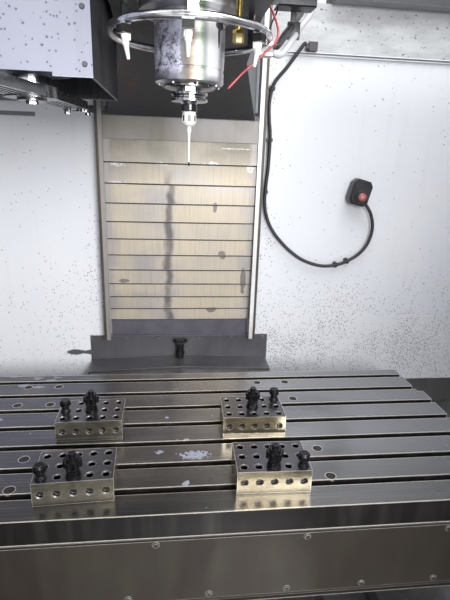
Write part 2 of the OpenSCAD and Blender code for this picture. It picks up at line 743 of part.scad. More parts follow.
// Covers fixed to the saddle: the last hood of each set, with the plates that close them
module saddle_covers() {
    w = hood_w - 2 * hood_in;
    peak = hood_peak - 2 * hood_in;
    fw = front_w - 3 * hood_in;
    color("#b4b8bd") {
        hood(w, peak, rear_start, rear_start + rear_stage_l);
        difference() {
            along_y(rear_start, rear_start + 3) polygon(gable(w, peak, saddle_top));
            span([-60, rear_start - 1, saddle_top - 1], [60, rear_start + 4, saddle_top + 6]);
        }
        span([-w, saddle_back, saddle_top - 6], [w, rear_start + 2, saddle_top - 3]);
        span([-w, saddle_back, saddle_top - 40], [w, saddle_back + 3, saddle_top - 3]);
        hood(fw, front_peak - 3 * hood_in, saddle_front - front_stage_l, saddle_front);
        along_y(saddle_front - 3, saddle_front)
            polygon(gable(saddle_w / 2, saddle_top, front_peak - 3 * hood_in - 20));
    }
}

module table() {
    half = table_l / 2;
    color("#9b9ea2") difference() {
        union() {
            span([-half, table_front, table_h - table_edge], [half, table_back, table_h]);
            span([-half + table_step, table_front + table_step, table_under],
                [half - table_step, table_back - table_step, table_h - table_edge + 1]);
        }
        for (i = [0 : slot_n - 1]) translate([0, table_front + slot_front + i * slot_pitch, 0]) {
            span([-half - 1, -slot_w / 2, table_h - slot_throat - 1], [half + 1, slot_w / 2, table_h + 1]);
            span([-half - 1, -slot_head_w / 2, table_h - slot_throat - slot_head_h],
                [half + 1, slot_head_w / 2, table_h - slot_throat]);
        }
        span([half - 18, table_y + 150, table_h - table_edge - 1], [half + 1, table_back + 1, table_h + 1]);
        span([-half - 1, table_y - motor_half - 6, table_under - 1],
            [-half + screw_in, table_y + motor_half + 6, table_under + 16]);
        for (p = cap_places) translate([p[0], table_y + p[1], table_h - 4]) cylinder(d = cap_d, h = 5);
    }
}
cap_places = [for (x = [-437, -353, 223, 308]) for (y = [-207, -109, 125, 225]) [x, y]];

module table_caps() {
    color("#3a3b3d") for (p = cap_places) translate([p[0], table_y + p[1], table_h - 4]) difference() {
        cylinder(d = cap_d, h = 3.7);
        translate([0, 0, 2.7]) cylinder(d = cap_d * 0.4, h = 2);
    }
}

module x_axis_drive() {
    half = table_l / 2;
    color("#aab0b6") for (t = [-1, 1]) along_x(-x_rail_half, x_rail_half)
        translate([table_y + t * x_rail_y, table_under]) rotate(180) rail_outline();
    color("#8d9197") for (x = [-half + screw_in, half - 50]) difference() {
        span([x, table_y - 40, x_screw_z - 26], [x + 26, table_y + 40, table_under]);
        bar_x(x - 1, x + 27, table_y, x_screw_z, screw_r - 5 + run);
    }
    color("#26282c") translate([-half + screw_in, table_y, x_screw_z]) rotate([0, -90, 0]) rotate(180)
        servo(motor_half, 120);
}

// Stainless apron that hangs from the front of the table
module front_apron() {
    half = table_l / 2;
    y = table_front;
    z0 = front_peak + 6;
    color("#c9ccd0") {
        along_x(-half, half) polygon([[y, table_h - table_edge], [y + table_step, table_h - table_edge],
            [y + table_step, table_under + 4], [y - 4, table_under + 4], [y - 4, z0 + 24],
                [y + 8, z0 + 20], [y + 8, z0],
            [y - 1, z0], [y - 1, z0 + 2], [y + 6, z0 + 2], [y + 6, z0 + 18], [y - 6, z0 + 22],
            [y - 6, table_h - table_edge - 2], [y, table_h - table_edge - 2]]);
    }
    color("#a9adb2") {
        screw_heads([for (k = [0 : 4]) [-half + 53 + k * (table_l - 229) / 4, table_h - 66]], y - 6, 7);
        screw_heads([for (x = [-half + 113 : 160 : half - 20]) [x, table_h - 196]], y - 6, 7);
    }
}

// A drilled block with its front left corner at the origin
module setup_block() {
    px = block_l / 5;
    py = block_w / 3;
    difference() {
        span([0, 0, 0], [block_l, block_w, block_h]);
        for (i = [0.5 : 4.5]) for (j = [0.5 : 2.5]) translate([i * px, j * py, -1])
            cylinder(d = block_hole, h = block_h + 2);
        for (i = [0.5 : 4.5]) for (j = [0.5 : 2.5]) translate([i * px, j * py, block_h - 1.6])
            cylinder(r1 = block_hole / 2, r2 = block_hole / 2 + 2.2, h = 2.2);
        for (i = [0.5 : 4.5]) translate([i * px, 8, block_h / 2]) rotate([90, 0, 0])
            cylinder(d = block_hole, h = 9);
        for (i = [0.5 : 4.5]) translate([i * px, 1.6, block_h / 2]) rotate([90, 0, 0])
            cylinder(r1 = block_hole / 2, r2 = block_hole / 2 + 2.2, h = 2.2);
    }
}
blocks = [[-294.9, 37.2, 2.6, 2, 0, 0, 0], [-299.3, 247.9, 0.7, 2, 1, 0, 1],
    [91.7, 247.5, -1.05, 2, 1, 4, 2], [98.3, 45.6, -1.1, 2, 0, 4, 0]];
module at_block(b) {
    translate([b[0], table_front + b[1], table_h]) rotate(b[2]) children();
}
module at_hole(i, j) {
    translate([(i + 0.5) * block_l / 5, (j + 0.5) * block_w / 3, block_h]) children();
}

module setup_blocks() {
    color("#6d6f73") for (b = blocks) at_block(b) setup_block();
}

// Clamping studs with their star knobs, and the short locating knobs
module block_fasteners() {
    r = block_hole / 2 - run;
    color("#202123") for (b = blocks) at_block(b) {
        at_hole(b[3], b[4]) {
            translate([0, 0, -block_h]) cylinder(r = r, h = block_h + 52);
            cylinder(r = 15, h = 4);
            translate([0, 0, 4]) cylinder(r = 13, h = 10, $fn = 6);
            translate([0, 0, 22]) {
                cylinder(r = 12, h = 22);
                for (k = [0 : 5]) rotate(k * 60) translate([12, 0, 0]) cylinder(r = 6, h = 16);
            }
        }
        at_hole(b[5], b[6]) {
            translate([0, 0, -30]) cylinder(r = r, h = 36);
            rotate_extrude() polygon([[0, 0], [11, 0], [11, 3], [8, 6], [8, 12], [12, 16], [12, 26],
                [9, 30], [0, 30]]);
        }
    }
}

module spindle_head() {
    nose_r = 118;
    color("#8d9197") {
        difference() {
            union() {
                intersection() {
                    along_x(-carriage_half, carriage_half)
                        polygon([[carriage_y + 88, carriage_z], [carriage_y, carriage_z],
                        [carriage_y, carriage_z + 77], [spindle_y + 130, head_under + 10],
                            [spindle_y - 118, head_under + 10],
                        [spindle_y - 118, head_top - 60], [carriage_y - 60, head_top],
                            [carriage_y + 88, head_top]]);
                    linear_extrude(3000) polygon([[-nose_r, spindle_y - 118], [nose_r, spindle_y - 118],
                        [nose_r, -199],
                        [200, carriage_y], [carriage_half, carriage_y], [carriage_half, 300],
                            [-carriage_half, 300],
                        [-carriage_half, carriage_y], [-200, carriage_y], [-nose_r, -199]]);
                }
                translate([0, spindle_y, head_under - 10]) cylinder(r = 100, h = 200);
            }
            translate([0, spindle_y, head_under - 11]) cylinder(r = housing_d / 2 + 13.05, h = 400);
            span([-46, z_screw_y - 26, carriage_z - 1], [46, 300, head_top + 1]);
            both() span([30, -60, head_top - 170], [170, 120, head_top + 1]);
        }
        for (s = [-1, 1]) for (z = [carriage_z + 20, head_top - guide_l - 40])
            translate([s * z_rail_x, column_front - 12, z]) linear_extrude(guide_l) rotate(180)
                guide_outline();
        difference() {
            span([-46, z_screw_y - 30, carriage_z + 60], [46, z_screw_y + 24, carriage_z + 170]);
            translate([0, z_screw_y, carriage_z + 59]) cylinder(r = screw_r + run, h = 112);
        }
    }
}

// Plan and side view of the head's sheet cover, drawn in by d and open at back and top by that much
module head_cover_form(d) {
    intersection() {
        translate([0, 0, cover_low - 52]) linear_extrude(700)
            polygon([[-140 + d, spindle_y - 140 + d], [140 - d, spindle_y - 140 + d],
            [140 - d, -199], [225 - d, carriage_y], [225 - d, carriage_y + d], [-225 + d, carriage_y + d],
            [-225 + d, carriage_y], [-140 + d, -199]]);
        along_x(-300, 300) polygon([[carriage_y, cover_low + d], [spindle_y + 101, cover_flat + d],
            [spindle_y - 141, cover_flat + d],
            [spindle_y - 141, cover_top - 50 + d], [spindle_y - 60, cover_top + d],
                [carriage_y + d, cover_top + d], [carriage_y + d, cover_low + d]]);
    }
}
cover_low = table_h + 752;
cover_flat = table_h + 900;
cover_top = table_h + 1220;

module head_cover() {
    t = 2.5;
    y = panel_y(z_panels);
    color("#4a4d53") {
        difference() {
            head_cover_form(0);
            head_cover_form(t);
            translate([0, spindle_y, cover_flat - 1]) cylinder(r = housing_d / 2 + run, h = 6);
        }
        span([-226, carriage_y - 3, cover_low], [226, y, cover_low + 12]);
    }
    color("#b9bcc2") panel(z_panels);
    color("#6f7278") {
        screw_heads([for (x = [-118, 118]) for (z = [12, 100]) [x, cover_flat + z]], spindle_y - 140, 4);
        for (p = [[-96, -560], [96, -560], [-96, -400], [96, -400]])
            translate([p[0], p[1], cover_flat - 2.5]) cylinder(r1 = 3, r2 = 4.5, h = 2.5);
    }
}

// One telescoping panel: face, hem at the bottom, flange at the top
module panel(i) {
    y = panel_y(i);
    z = panel_z(i);
    d = panel_step - panel_t - run;
    along_x(-post_in + 0.4, post_in - 0.4)
        polygon([[y, z + 2.4], [y + d, z + 2.4], [y + d, z], [y - panel_t + 0.8, z],
        [y - panel_t, z + 0.8], [y - panel_t, z + panel_h], [y + d, z + panel_h],
            [y + d, z + panel_h - 2.4], [y, z + panel_h - 2.4]]);
}

module spindle_housing() {
    a = housing_d / 2;
    e = housing_end_d / 2;
    color("#b3b5b9") translate([0, spindle_y, 0]) rotate_extrude()
        polygon([[nose_d / 2 + run, face_z + 6], [e - 3, face_z + 6],
        [e, face_z + 9], [e, face_z + 26], [e - 1.5, face_z + 27], [e - 1.5, face_z + 29],
            [e, face_z + 30], [a, face_z + 52],
        [a, face_z + 92], [a - 2, face_z + 93], [a - 2, face_z + 96], [a, face_z + 97],
            [a, cover_flat - 30], [a + 24, cover_flat - 30],
        [a + 25, cover_flat - 29], [a + 25, cover_flat - 16], [a + 22, cover_flat - 15],
            [a + 22, cover_flat - 13], [a + 28, cover_flat - 12],
        [a + 28, cover_flat - run], [a, cover_flat - run], [a, head_under - 12],
            [a + 13, head_under - 12], [a + 13, head_top - 4],
        [nose_d / 2 + run, head_top - 4]]);
    color("#6f7278") translate([0, spindle_y, 0]) for (k = [0 : 7]) rotate(k * 45 + 12)
        translate([nose_d / 2 + 8, 0, face_z + 3.5]) cylinder(r = 3, h = 2.5);
}

// Coolant ring round the housing with its nozzles, stand-offs, fitting and manifold
module coolant_ring() {
    z = ring_z;
    color("#5b5e63") translate([0, spindle_y, z]) {
        rotate_extrude() translate([ring_r, 0]) circle(r = ring_tube / 2);
        for (a = [30, 150, 270]) rotate(a) span([ring_r - 3, -8, 0], [ring_r, 8, cover_flat - z]);
        for (a = [-141, -93, -36]) rotate(a) span([ring_r - 9, -9, -ring_tube / 2 - 12], [ring_r + 5, 9, 0]);
        span([ring_r - 13, -6, -23], [ring_r + 9, 18, -2]);
        translate([74, -65, -4]) cylinder(r = 5, h = cover_flat - z + 4);
    }
    color("#e4e4e2") translate([0, spindle_y, z - ring_tube / 2 - 12]) for (a = [-141, -93, -36])
        rotate(a) translate([ring_r - 2, 0, 0]) {
        span([-8, -6, -9], [0, 6, 1]);
        rotate([0, 12, 0]) {
            translate([0, 0, -9]) cylinder(r = 5, h = 9);
            translate([0, 0, -17]) rotate_extrude() polygon([[0, 0], [4, 0], [6, 4], [4.5, 9], [0, 9]]);
            translate([0, 0, -35]) cylinder(r1 = 2.4, r2 = 4.2, h = 18.5);
        }
    }
    color("#b08d4a") translate([74, spindle_y - 65, z - 19]) cylinder(r = 9, h = 18, $fn = 6);
}
ring_z = table_h + 839;

// Two hoses from the manifold to a box on the head's side, on a folded bracket
module head_hoses() {
    x = 140.2;
    color("#8d9298") tube(silver_hose, 12, 2, 10);
    color("#242527") {
        tube(black_hose, 13, 2, 10);
        tube(loop_wire, 3, 2, 6);
        span([x, -290, ring_z + 291], [x + 65, -225, ring_z + 356]);
        span([x + 16, -440, ring_z + 67], [x + 86, -402, ring_z + 70]);
        span([x, -440, ring_z + 69], [x + 86, -437, ring_z + 98]);
        span([183, -409, ring_z + 21], [206, -401, ring_z + 50]);
        span([188, -408, ring_z + 49], [198, -402, ring_z + 68]);
    }
}
silver_hose = lifted([[143.4, -476, -17], [149, -476, -17.5], [156, -467, -18], [166, -453, -12],
    [181, -432, 6], [199, -405, 29],
    [217, -378, 53], [235, -352, 74], [252, -320, 104], [256, -290, 146], [246, -268, 191],
        [222, -256, 229], [198, -248, 262], [186, -246, 292]]);
black_hose = lifted([[143.4, -468, -6.5], [149, -467, -5.5], [160, -452, 4], [174, -430, 23],
    [190, -405, 42], [206, -380, 63],
    [222, -352, 85], [236, -320, 117], [236, -292, 159], [222, -274, 201], [196, -266, 236],
        [174, -263, 266], [168, -262, 292]]);
loop_wire = lifted([[158, -452, 2], [149, -438, 7], [146, -430, 18], [147, -424, 32], [151, -420, 45],
    [157, -418, 57], [160, -416, 67]]);
function lifted(p) = [for (q = p) [q[0], q[1], ring_z + q[2]]];

// Thin blow-off line: free tip beside the spindle, up past the ring and along the head to the box
module air_line() {
    color("#b3262b") tube(lifted([[66, -490, -79], [91, -490, -53], [116, -490, -31], [133, -490.5, -15],
        [145, -488, -3], [152, -475, 15],
        [152, -455, 35], [149, -430, 57], [146, -396, 84], [144, -360, 130], [144, -320, 190],
            [148, -290, 240], [151, -266, 268],
        [152, -262, 282], [152, -262, 290.6]]), 4, 2, 8);
}

module spindle_motor() {
    z = head_top - 4;
    color("#26282c") translate([0, spindle_y, z]) {
        difference() {
            union() {
                span([-105, -105, 0], [105, 105, 26]);
                span([-96, -96, 26], [96, 96, 250]);
            }
            for (a = [0 : 3]) rotate(a * 90) for (x = [-70 : 20 : 70])
                span([x - 5, 84, 46], [x + 5, 97, 232]);
            translate([0, 0, -1]) cylinder(r = 26, h = 60);
        }
        translate([0, 0, 249]) cylinder(r = 90, h = 44);
        translate([0, 0, 292]) cylinder(r1 = 86, r2 = 70, h = 14);
        span([70, -40, 252], [128, 40, 300]);
    }
}

module spindle_nose() {
    a = nose_d / 2;
    color("#6d7075") translate([0, spindle_y, 0]) {
        difference() {
            rotate_extrude() polygon([[0, face_z], [a - 2, face_z], [a, face_z + 2], [a, face_z + 90],
                [34, face_z + 94],
                [34, face_z + 300], [a, face_z + 304], [a, face_z + 380], [20, face_z + 384],
                    [20, head_top + 30], [0, head_top + 30]]);
            translate([0, 0, face_z - eps]) cylinder(r1 = 22, r2 = 14, h = 70);
        }
        for (k = [0, 180]) rotate(k + 90) span([33.5, -8, face_z - 7], [a - 2, 8, face_z + eps]);
    }
}

module probe_holder() {
    a = flange_d / 2;
    color("#b9bcc0") translate([0, spindle_y, face_z]) {
        translate([0, 0, -eps]) cylinder(r1 = 22, r2 = 14, h = 70);
        rotate_extrude() polygon([[0, -25], [13, -25], [16, -20], [a, -20], [a, -16], [a - 4, -14],
            [a - 4, -11.5], [a, -9.5],
            [a, -6], [22, -6], [22, 0], [0, 0]]);
    }
}

module touch_probe() {
    r = probe_d / 2;
    color("#d8d8d6") translate([0, spindle_y, face_z - 25]) {
        difference() {
            rotate_extrude() polygon([[0, -36], [5, -36], [r - 3, -33], [r - 0.6, -30], [r, -28],
                [r, -15], [r - 1, -14], [r - 1, -12],
                [r + 1, -11], [r + 1.4, -9], [r + 1.4, 0], [0, 0]]);
            for (k = [0 : 5]) rotate(k * 60 + 30) span([r - 1.2, -3.5, -27], [r + 3, 3.5, -17]);
        }
        rotate_extrude() polygon([[0, -36 - stylus_l], [1.3, -36 - stylus_l], [2, -60], [2.6, -46],
            [4, -44], [4, -35], [0, -35]]);
    }
    color("#151515") translate([0, spindle_y, face_z - 61 - stylus_l]) sphere(r = 2.5);
}

module y_cover_rear() {
    color("#bcc0c5") hood(hood_w - hood_in, hood_peak - hood_in, rear_stage_y,
        rear_stage_y + rear_stage_l, rear_stage_y);
}
module front_stage(i, y) {
    color("#bcc0c5") hood(front_w - i * hood_in, front_peak - i * hood_in, y - front_stage_l, y, y - 4);
}
module y_cover_front_2() {
    front_stage(1, front_lip_y + front_stage_l - hood_overlap - y_aft / 3);
}
module y_cover_front_1() {
    front_stage(2, front_lip_y + 2 * (front_stage_l - hood_overlap) - 2 * y_aft / 3);
}

module x_ballscrew() {
    color("#9aa0a6") translate([-table_l / 2 + screw_in + 0.5, table_y, x_screw_z]) rotate([0, 90, 0])
        ballscrew(table_l - screw_in - 26, 16);
}
module y_ballscrew() {
    color("#9aa0a6") bar_end(y_rail_front - 23, 0, y_screw_z) ballscrew(470 - y_rail_front + 22, 16);
}
module bar_end(y, x, z) {
    translate([x, y, z]) rotate([-90, 0, 0]) children();
}
module z_ballscrew() {
    color("#9aa0a6") translate([0, z_screw_y, carriage_z - z_stroke - 89])
        ballscrew(column_top + 24 - carriage_z + z_stroke + 89, 16);
}

// A sliding door of width w whose frame starts at x0
module door(x0, handle_x) {
    y1 = frame_y - frame_t - 4;
    y0 = y1 - door_t;
    z0 = sill_z - 16 + run;
    color("#dcdee3") difference() {
        span([x0, y0, z0], [x0 + door_w, y1, z0 + door_h]);
        span([x0 + 90, y0 - 1, z0 + 150], [x0 + door_w - 90, y1 + 1, z0 + door_h - 170]);
    }
    color("#2d3035") for (x = [x0 + 60, x0 + door_w - 100]) span([x, y0 + 12, z0 + door_h],
        [x + 40, y1 - 6, door_top + 34 - run]);
    color("#9fb6bd") span([x0 + 90, y0 + 16, z0 + 150], [x0 + door_w - 90, y0 + 26, z0 + door_h - 170]);
    color("#2d3035") {
        bar_z(handle_x, y0 - 44, z0 + 420, z0 + 720, 11);
        for (z = [z0 + 450, z0 + 690]) translate([handle_x, y0, z]) rotate([90, 0, 0])
            cylinder(r = 9, h = 44);
    }
}
module bar_z(x, y, z0, z1, r) {
    translate([x, y, z0]) cylinder(r = r, h = z1 - z0);
}
module door_left() { door(-door_half - door_w + 5, -door_half - 40); }
module door_right() { door(door_half - 5, door_half + 40); }

module control_pendant() {
    w = pendant_w;
    y1 = pendant_y - pendant_gap;
    y0 = key_face;
    x0 = pendant_x - w + 90;
    color("#2d3035") {
        translate([pendant_x, pendant_y, pendant_top - 60]) cylinder(r = 34, h = 30);
        translate([pendant_x, pendant_y, pendant_top - 40]) span([-150, -30, 0], [30, 30, 40]);
        span([pendant_x - 190, pendant_y - 70, 1800], [pendant_x - 130, pendant_y - 4, pendant_top]);
    }
    color("#d4d6dc") difference() {
        along_x(x0, x0 + w) polygon([[y1, 1180], [y0, 1180], [y0, 1330], [y0 + 30, 1400], [y0 + 30, 1810],
            [y1, 1810]]);
        span([x0 + 60, y0 + 24, 1470], [x0 + w - 60, y0 + 34, 1760]);
        translate([x0 + w - 70, y0 - 1, knob_z]) rotate([-90, 0, 0]) cylinder(r = 12, h = 32);
        translate([x0 + 110, y0 - 1, knob_z]) rotate([-90, 0, 0]) cylinder(r = 10, h = 32);
    }
    color("#15181c") span([x0 + 62, y0 + 29, 1472], [x0 + w - 62, y0 + 33.9, 1758]);
    color("#3b3e44") for (i = [0 : 7]) for (j = [0 : 2])
        translate([x0 + 50 + i * 43, y0 + 18, 1416 + j * 15]) span([0, 0, 0], [34, 12, 11]);
    color("#e0b020") translate([x0 + w - 70, y0 - 1.5, knob_z]) rotate([-90, 0, 0]) difference() {
        cylinder(r = 34, h = 1.5);
        translate([0, 0, -1]) cylinder(r = 14, h = 4);
    }
}
module stop_button() {
    color("#b3262b") translate([pendant_x + 20, key_face - 1.5, knob_z]) rotate([90, 0, 0]) {
        translate([0, 0, -24]) cylinder(r = 12 - run, h = 34);
        translate([0, 0, 8]) rotate_extrude()
            polygon([[0, 0], [20, 0], [21, 3], [21, 10], [17, 15], [0, 16]]);
    }
}
module jog_wheel() {
    color("#202123") translate([pendant_x - pendant_w + 200, key_face - 0.5, knob_z]) rotate([90, 0, 0]) {
        translate([0, 0, -24]) cylinder(r = 10 - run, h = 26);
        rotate_extrude() polygon([[0, 0], [36, 0], [38, 3], [38, 12], [35, 15], [0, 15]]);
        translate([22, 0, 14]) cylinder(r = 7, h = 11);
    }
}

module arm_shaft() {
    color("#a5a9ae") translate([arm_x, spindle_y, arm_top + eps]) {
        cylinder(r = shaft_r, h = 388);
        cylinder(r = shaft_r + 4, h = 4);
    }
}

// Double swing arm: hub, two grooved beams and open jaws that close round a tool's flange
module swing_arm() {
    low = arm_top - arm_t;
    jaw = flange_d / 2 + 0.6;
    ring = jaw + 18;
    color("#3c3e42") translate([arm_x, spindle_y, 0]) rotate(arm_park) {
        translate([0, 0, low - 2]) cylinder(r = hub_r, h = arm_top - low + 2);
        translate([0, 0, low - 6]) cylinder(r = 24, h = 5);
        translate([0, 0, low - 11]) cylinder(r = 10, h = 6, $fn = 6);
        for (s = [0, 180]) rotate(s) {
            difference() {
                union() {
                    translate([0, 0, low]) linear_extrude(arm_t)
                        polygon([[20, -34], [arm_r - 52, -20], [arm_r - jaw - 3, -16],
                            [arm_r - jaw - 3, 30], [arm_r - 60, 26], [20, 36]]);
                    intersection() {
                        translate([arm_r, 0, low]) cylinder(r = ring, h = arm_t);
                        span([arm_r - ring, 0, low], [arm_r + ring, ring, arm_top]);
                    }
                }
                translate([arm_r, 0, low - 1]) cylinder(r = jaw, h = arm_t + 2);
                for (y = [-18, -6, 6, 18]) span([hub_r + 14, y - 3, low - 1],
                    [arm_r - jaw - 24, y + 3, low + arm_t / 2]);
            }
            for (p = [[arm_r - 58, -12], [arm_r - 58, 18], [arm_r - jaw - 9, 2]])
                translate([p[0], p[1], low - 5]) cylinder(r = 5, h = 6);
            translate([arm_r + jaw + 8, 12, low - 6]) cylinder(r = 6, h = 7);
            translate([arm_r - 8, jaw + 8, low - 8]) cylinder(r = 7, h = 9, $fn = 6);
        }
    }
}

// Magazine: disc that turns about X, with a ring of open tool pots
module tool_magazine() {
    pots = 18;
    pitch = disc_r - 42;
    color("#9a9ea5") translate([disc_x, spindle_y, disc_z]) rotate([0, 90, 0]) difference() {
        union() {
            cylinder(r = disc_r, h = 16);
            translate([0, 0, cover_left + 3 + run - disc_x]) cylinder(r = 32, h = disc_x - cover_left);
            translate([0, 0, 8]) cylinder(r = 90, h = 30);
        }
        for (k = [0 : 5]) rotate(k * 60) translate([165, 0, -1]) cylinder(r = 48, h = 18);
        for (k = [0 : pots - 1]) rotate(k * 360 / pots) translate([pitch, 0, -1]) cylinder(r = 22, h = 18);
    }
    color("#d8d8d6") translate([disc_x + 16, spindle_y, disc_z]) rotate([0, 90, 0])
        for (k = [0 : pots - 1]) rotate(k * 360 / pots) translate([pitch, 0, 0]) difference() {
            union() {
                cylinder(r = 34, h = 60);
                cylinder(r = 40, h = 12);
            }
            translate([0, 0, -1]) cylinder(r1 = 16, r2 = 24, h = 62);
        }
}

module moving_panel(i) {
    color(i % 2 == 0 ? "#bfc2c8" : "#c6c9cf") panel(i);
}

base_casting();
levelling_pads();
column();
guideways();
servo_motors();
rear_walls();
rear_apron();
flush_nozzle();
z_cover_frame();
chip_pan();
enclosure_panels();
enclosure_front();
electrical_cabinet();
x_ballscrew();
tool_changer_cover();
arm_gearbox();
probe_receiver();
receiver_cable();
saddle();
saddle_covers();
table();
x_axis_drive();
front_apron();
setup_blocks();
block_fasteners();
table_caps();
spindle_head();
head_cover();
spindle_housing();
coolant_ring();
head_hoses();
air_line();
spindle_motor();
spindle_nose();
probe_holder();
touch_probe();
moving_panel(1);  // z_panel_01
moving_panel(2);  // z_panel_02
moving_panel(3);  // z_panel_03
moving_panel(4);  // z_panel_04
moving_panel(5);  // z_panel_05
moving_panel(6);  // z_panel_06
moving_panel(7);  // z_panel_07
moving_panel(8);  // z_panel_08
moving_panel(9);  // z_panel_09
moving_panel(10);  // z_panel_10
moving_panel(11);  // z_panel_11
y_cover_rear();
y_cover_front_1();
y_cover_front_2();
y_ballscrew();
z_ballscrew();
door_left();
door_right();
control_pendant();
stop_button();
jog_wheel();
arm_shaft();
swing_arm();
tool_magazine();
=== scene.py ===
import json
import bpy
import numpy as np
from mathutils import Matrix, Vector


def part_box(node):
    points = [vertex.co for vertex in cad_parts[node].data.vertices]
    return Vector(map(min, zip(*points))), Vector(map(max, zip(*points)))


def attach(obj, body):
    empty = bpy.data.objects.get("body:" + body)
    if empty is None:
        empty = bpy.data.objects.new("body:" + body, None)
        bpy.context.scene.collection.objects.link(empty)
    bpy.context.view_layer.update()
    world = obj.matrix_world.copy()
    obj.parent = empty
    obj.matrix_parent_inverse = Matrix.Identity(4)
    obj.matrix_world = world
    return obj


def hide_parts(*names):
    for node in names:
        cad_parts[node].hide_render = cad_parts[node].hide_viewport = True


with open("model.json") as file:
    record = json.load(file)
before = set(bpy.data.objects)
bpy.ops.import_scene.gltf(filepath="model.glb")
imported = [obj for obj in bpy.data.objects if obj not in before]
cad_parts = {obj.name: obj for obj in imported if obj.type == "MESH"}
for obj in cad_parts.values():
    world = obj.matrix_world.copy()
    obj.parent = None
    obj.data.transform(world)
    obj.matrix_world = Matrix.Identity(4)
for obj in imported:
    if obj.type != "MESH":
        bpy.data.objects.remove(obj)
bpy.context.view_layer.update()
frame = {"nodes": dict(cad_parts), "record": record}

cadNodes = frame["nodes"]
print("frame loaded,", len(cadNodes), "nodes")

# The camera leans in through the open doors and looks down at the table
cameraFacts = {
    "place": (-0.030, -1.365, 1.5528),
    "right": (0.9937, -0.1074, 0.0327),
    "up": (0.0011, 0.3005, 0.9538),
    "focalPixels": 467.17,
    "longSidePixels": 600,
}


def aimCamera(facts):
    right = Vector(facts["right"]).normalized()
    up = Vector(facts["up"])
    up = (up - right * up.dot(right)).normalized()
    data = bpy.data.cameras.new("viewCamera")
    data.sensor_width = 36
    data.lens = facts["focalPixels"] / facts["longSidePixels"] * data.sensor_width
    data.clip_start = 0.02
    data.clip_end = 60
    cam = bpy.data.objects.new("viewCamera", data)
    turn = Matrix((right, up, right.cross(up))).transposed()
    cam.matrix_world = Matrix.Translation(facts["place"]) @ turn.to_4x4()
    bpy.context.scene.collection.objects.link(cam)
    bpy.context.scene.camera = cam


aimCamera(cameraFacts)


def newPiece(name, verts, faces, body, slot, replaced=(), smooth=True):
    mesh = bpy.data.meshes.new(name)
    mesh.from_pydata(np.asarray(verts, float).tolist(), [], faces)
    mesh.polygons.foreach_set("use_smooth", np.full(len(mesh.polygons), smooth))
    mesh.update()
    obj = bpy.data.objects.new(name, mesh)
    bpy.context.scene.collection.objects.link(obj)
    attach(obj, body)
    if replaced:
        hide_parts(*replaced)
    return obj


# Four-cornered faces between the rows of a grid whose last column joins the first
def gridFaces(rows, columns):
    a = np.arange(rows * columns).reshape(rows, columns)
    b = np.roll(a, -1, axis=1)
    return np.stack([a[:-1], b[:-1], b[1:], a[1:]], axis=-1).reshape(-1, 4).tolist()


# The same, with each open end closed by one face
def closedFaces(rows, columns):
    last = (rows - 1) * columns
    return gridFaces(rows, columns) + [list(range(columns))[::-1], list(range(last, last + columns))]


# A line through chosen points: each stretch is the cubic that leaves and meets its ends with the
# slope between the neighbours on either side
def smoothRoute(points, steps):
    p = np.asarray(points, float)
    before = np.vstack([p[:1], p[:-2]])
    after = np.vstack([p[2:], p[-1:]])
    a, b, c, d = (q[:, None, :] for q in (before, p[:-1], p[1:], after))
    t = (np.arange(steps) / steps)[None, :, None]
    bend = (2 * a - 5 * b + 4 * c - d) * t**2 + (3 * b - a - 3 * c + d) * t**3
    line = 0.5 * (2 * b + (c - a) * t + bend)
    return np.vstack([line.reshape(-1, 3), p[-1:]])


# The same line with places at an even spacing
def evenRoute(points, spacing):
    line = smoothRoute(points, 24)
    gone = np.concatenate([[0], np.cumsum(np.linalg.norm(np.diff(line, axis=0), axis=1))])
    at = np.linspace(0, gone[-1], max(3, int(gone[-1] / spacing) + 1))
    return np.stack([np.interp(at, gone, line[:, k]) for k in range(3)], axis=1), at


# Each point of the skin is a place of the route plus the radius there times the direction round it,
# cosine along one side and sine along the other
def sweptSkin(route, radius, sides):
    ahead = np.gradient(route, axis=0)
    ahead /= np.linalg.norm(ahead, axis=1)[:, None]
    side = np.cross(np.cross(ahead, (0.1, 1, 0.2)), ahead)
    side /= np.linalg.norm(side, axis=1)[:, None]
    over = np.cross(ahead, side)
    turn = np.arange(sides) * 2 * np.pi / sides
    across, along = np.cos(turn)[None, :, None], np.sin(turn)[None, :, None]
    ring = across * side[:, None, :] + along * over[:, None, :]
    skin = route[:, None, :] + np.asarray(radius)[:, None, None] * ring
    return skin.reshape(-1, 3), closedFaces(len(route), sides)


# A cord along its route; its radius dips between ribs as a cosine of the distance gone
def makeCord(name, points, facts, body, slot, replaced):
    route, at = evenRoute(np.asarray(points) / 1000, facts["spacing"])
    radius = facts["diameter"] / 2 + facts["rib"] * (np.cos(2 * np.pi * at / facts["ribPitch"]) - 1)
    skin, faces = sweptSkin(route, radius, facts["sides"])
    piece = newPiece(name, skin, faces, body, slot, replaced)
    print(name, "is", round(float(at[-1]), 3), "m long")
    return piece


# Cords first: the receiver's conduit on the wall, then the hoses and the blow-off line of the head
wallY = 203
ledgeZ = 1860
ringZ = 1739
conduitFacts = {"diameter": 0.012, "rib": 0.00045, "ribPitch": 0.0042, "spacing": 0.00105, "sides": 14,
                "farEnd": "object", "stiffness": "stiff", "lay": "hanging"}
hoseFacts = {**conduitFacts, "rib": 0.0, "spacing": 0.005, "sides": 20}
wireFacts = {**hoseFacts, "diameter": 0.003, "spacing": 0.003, "sides": 10, "stiffness": "medium",
             "lay": "loose"}
airFacts = {**hoseFacts, "diameter": 0.004, "spacing": 0.004, "sides": 14, "farEnd": "bare"}
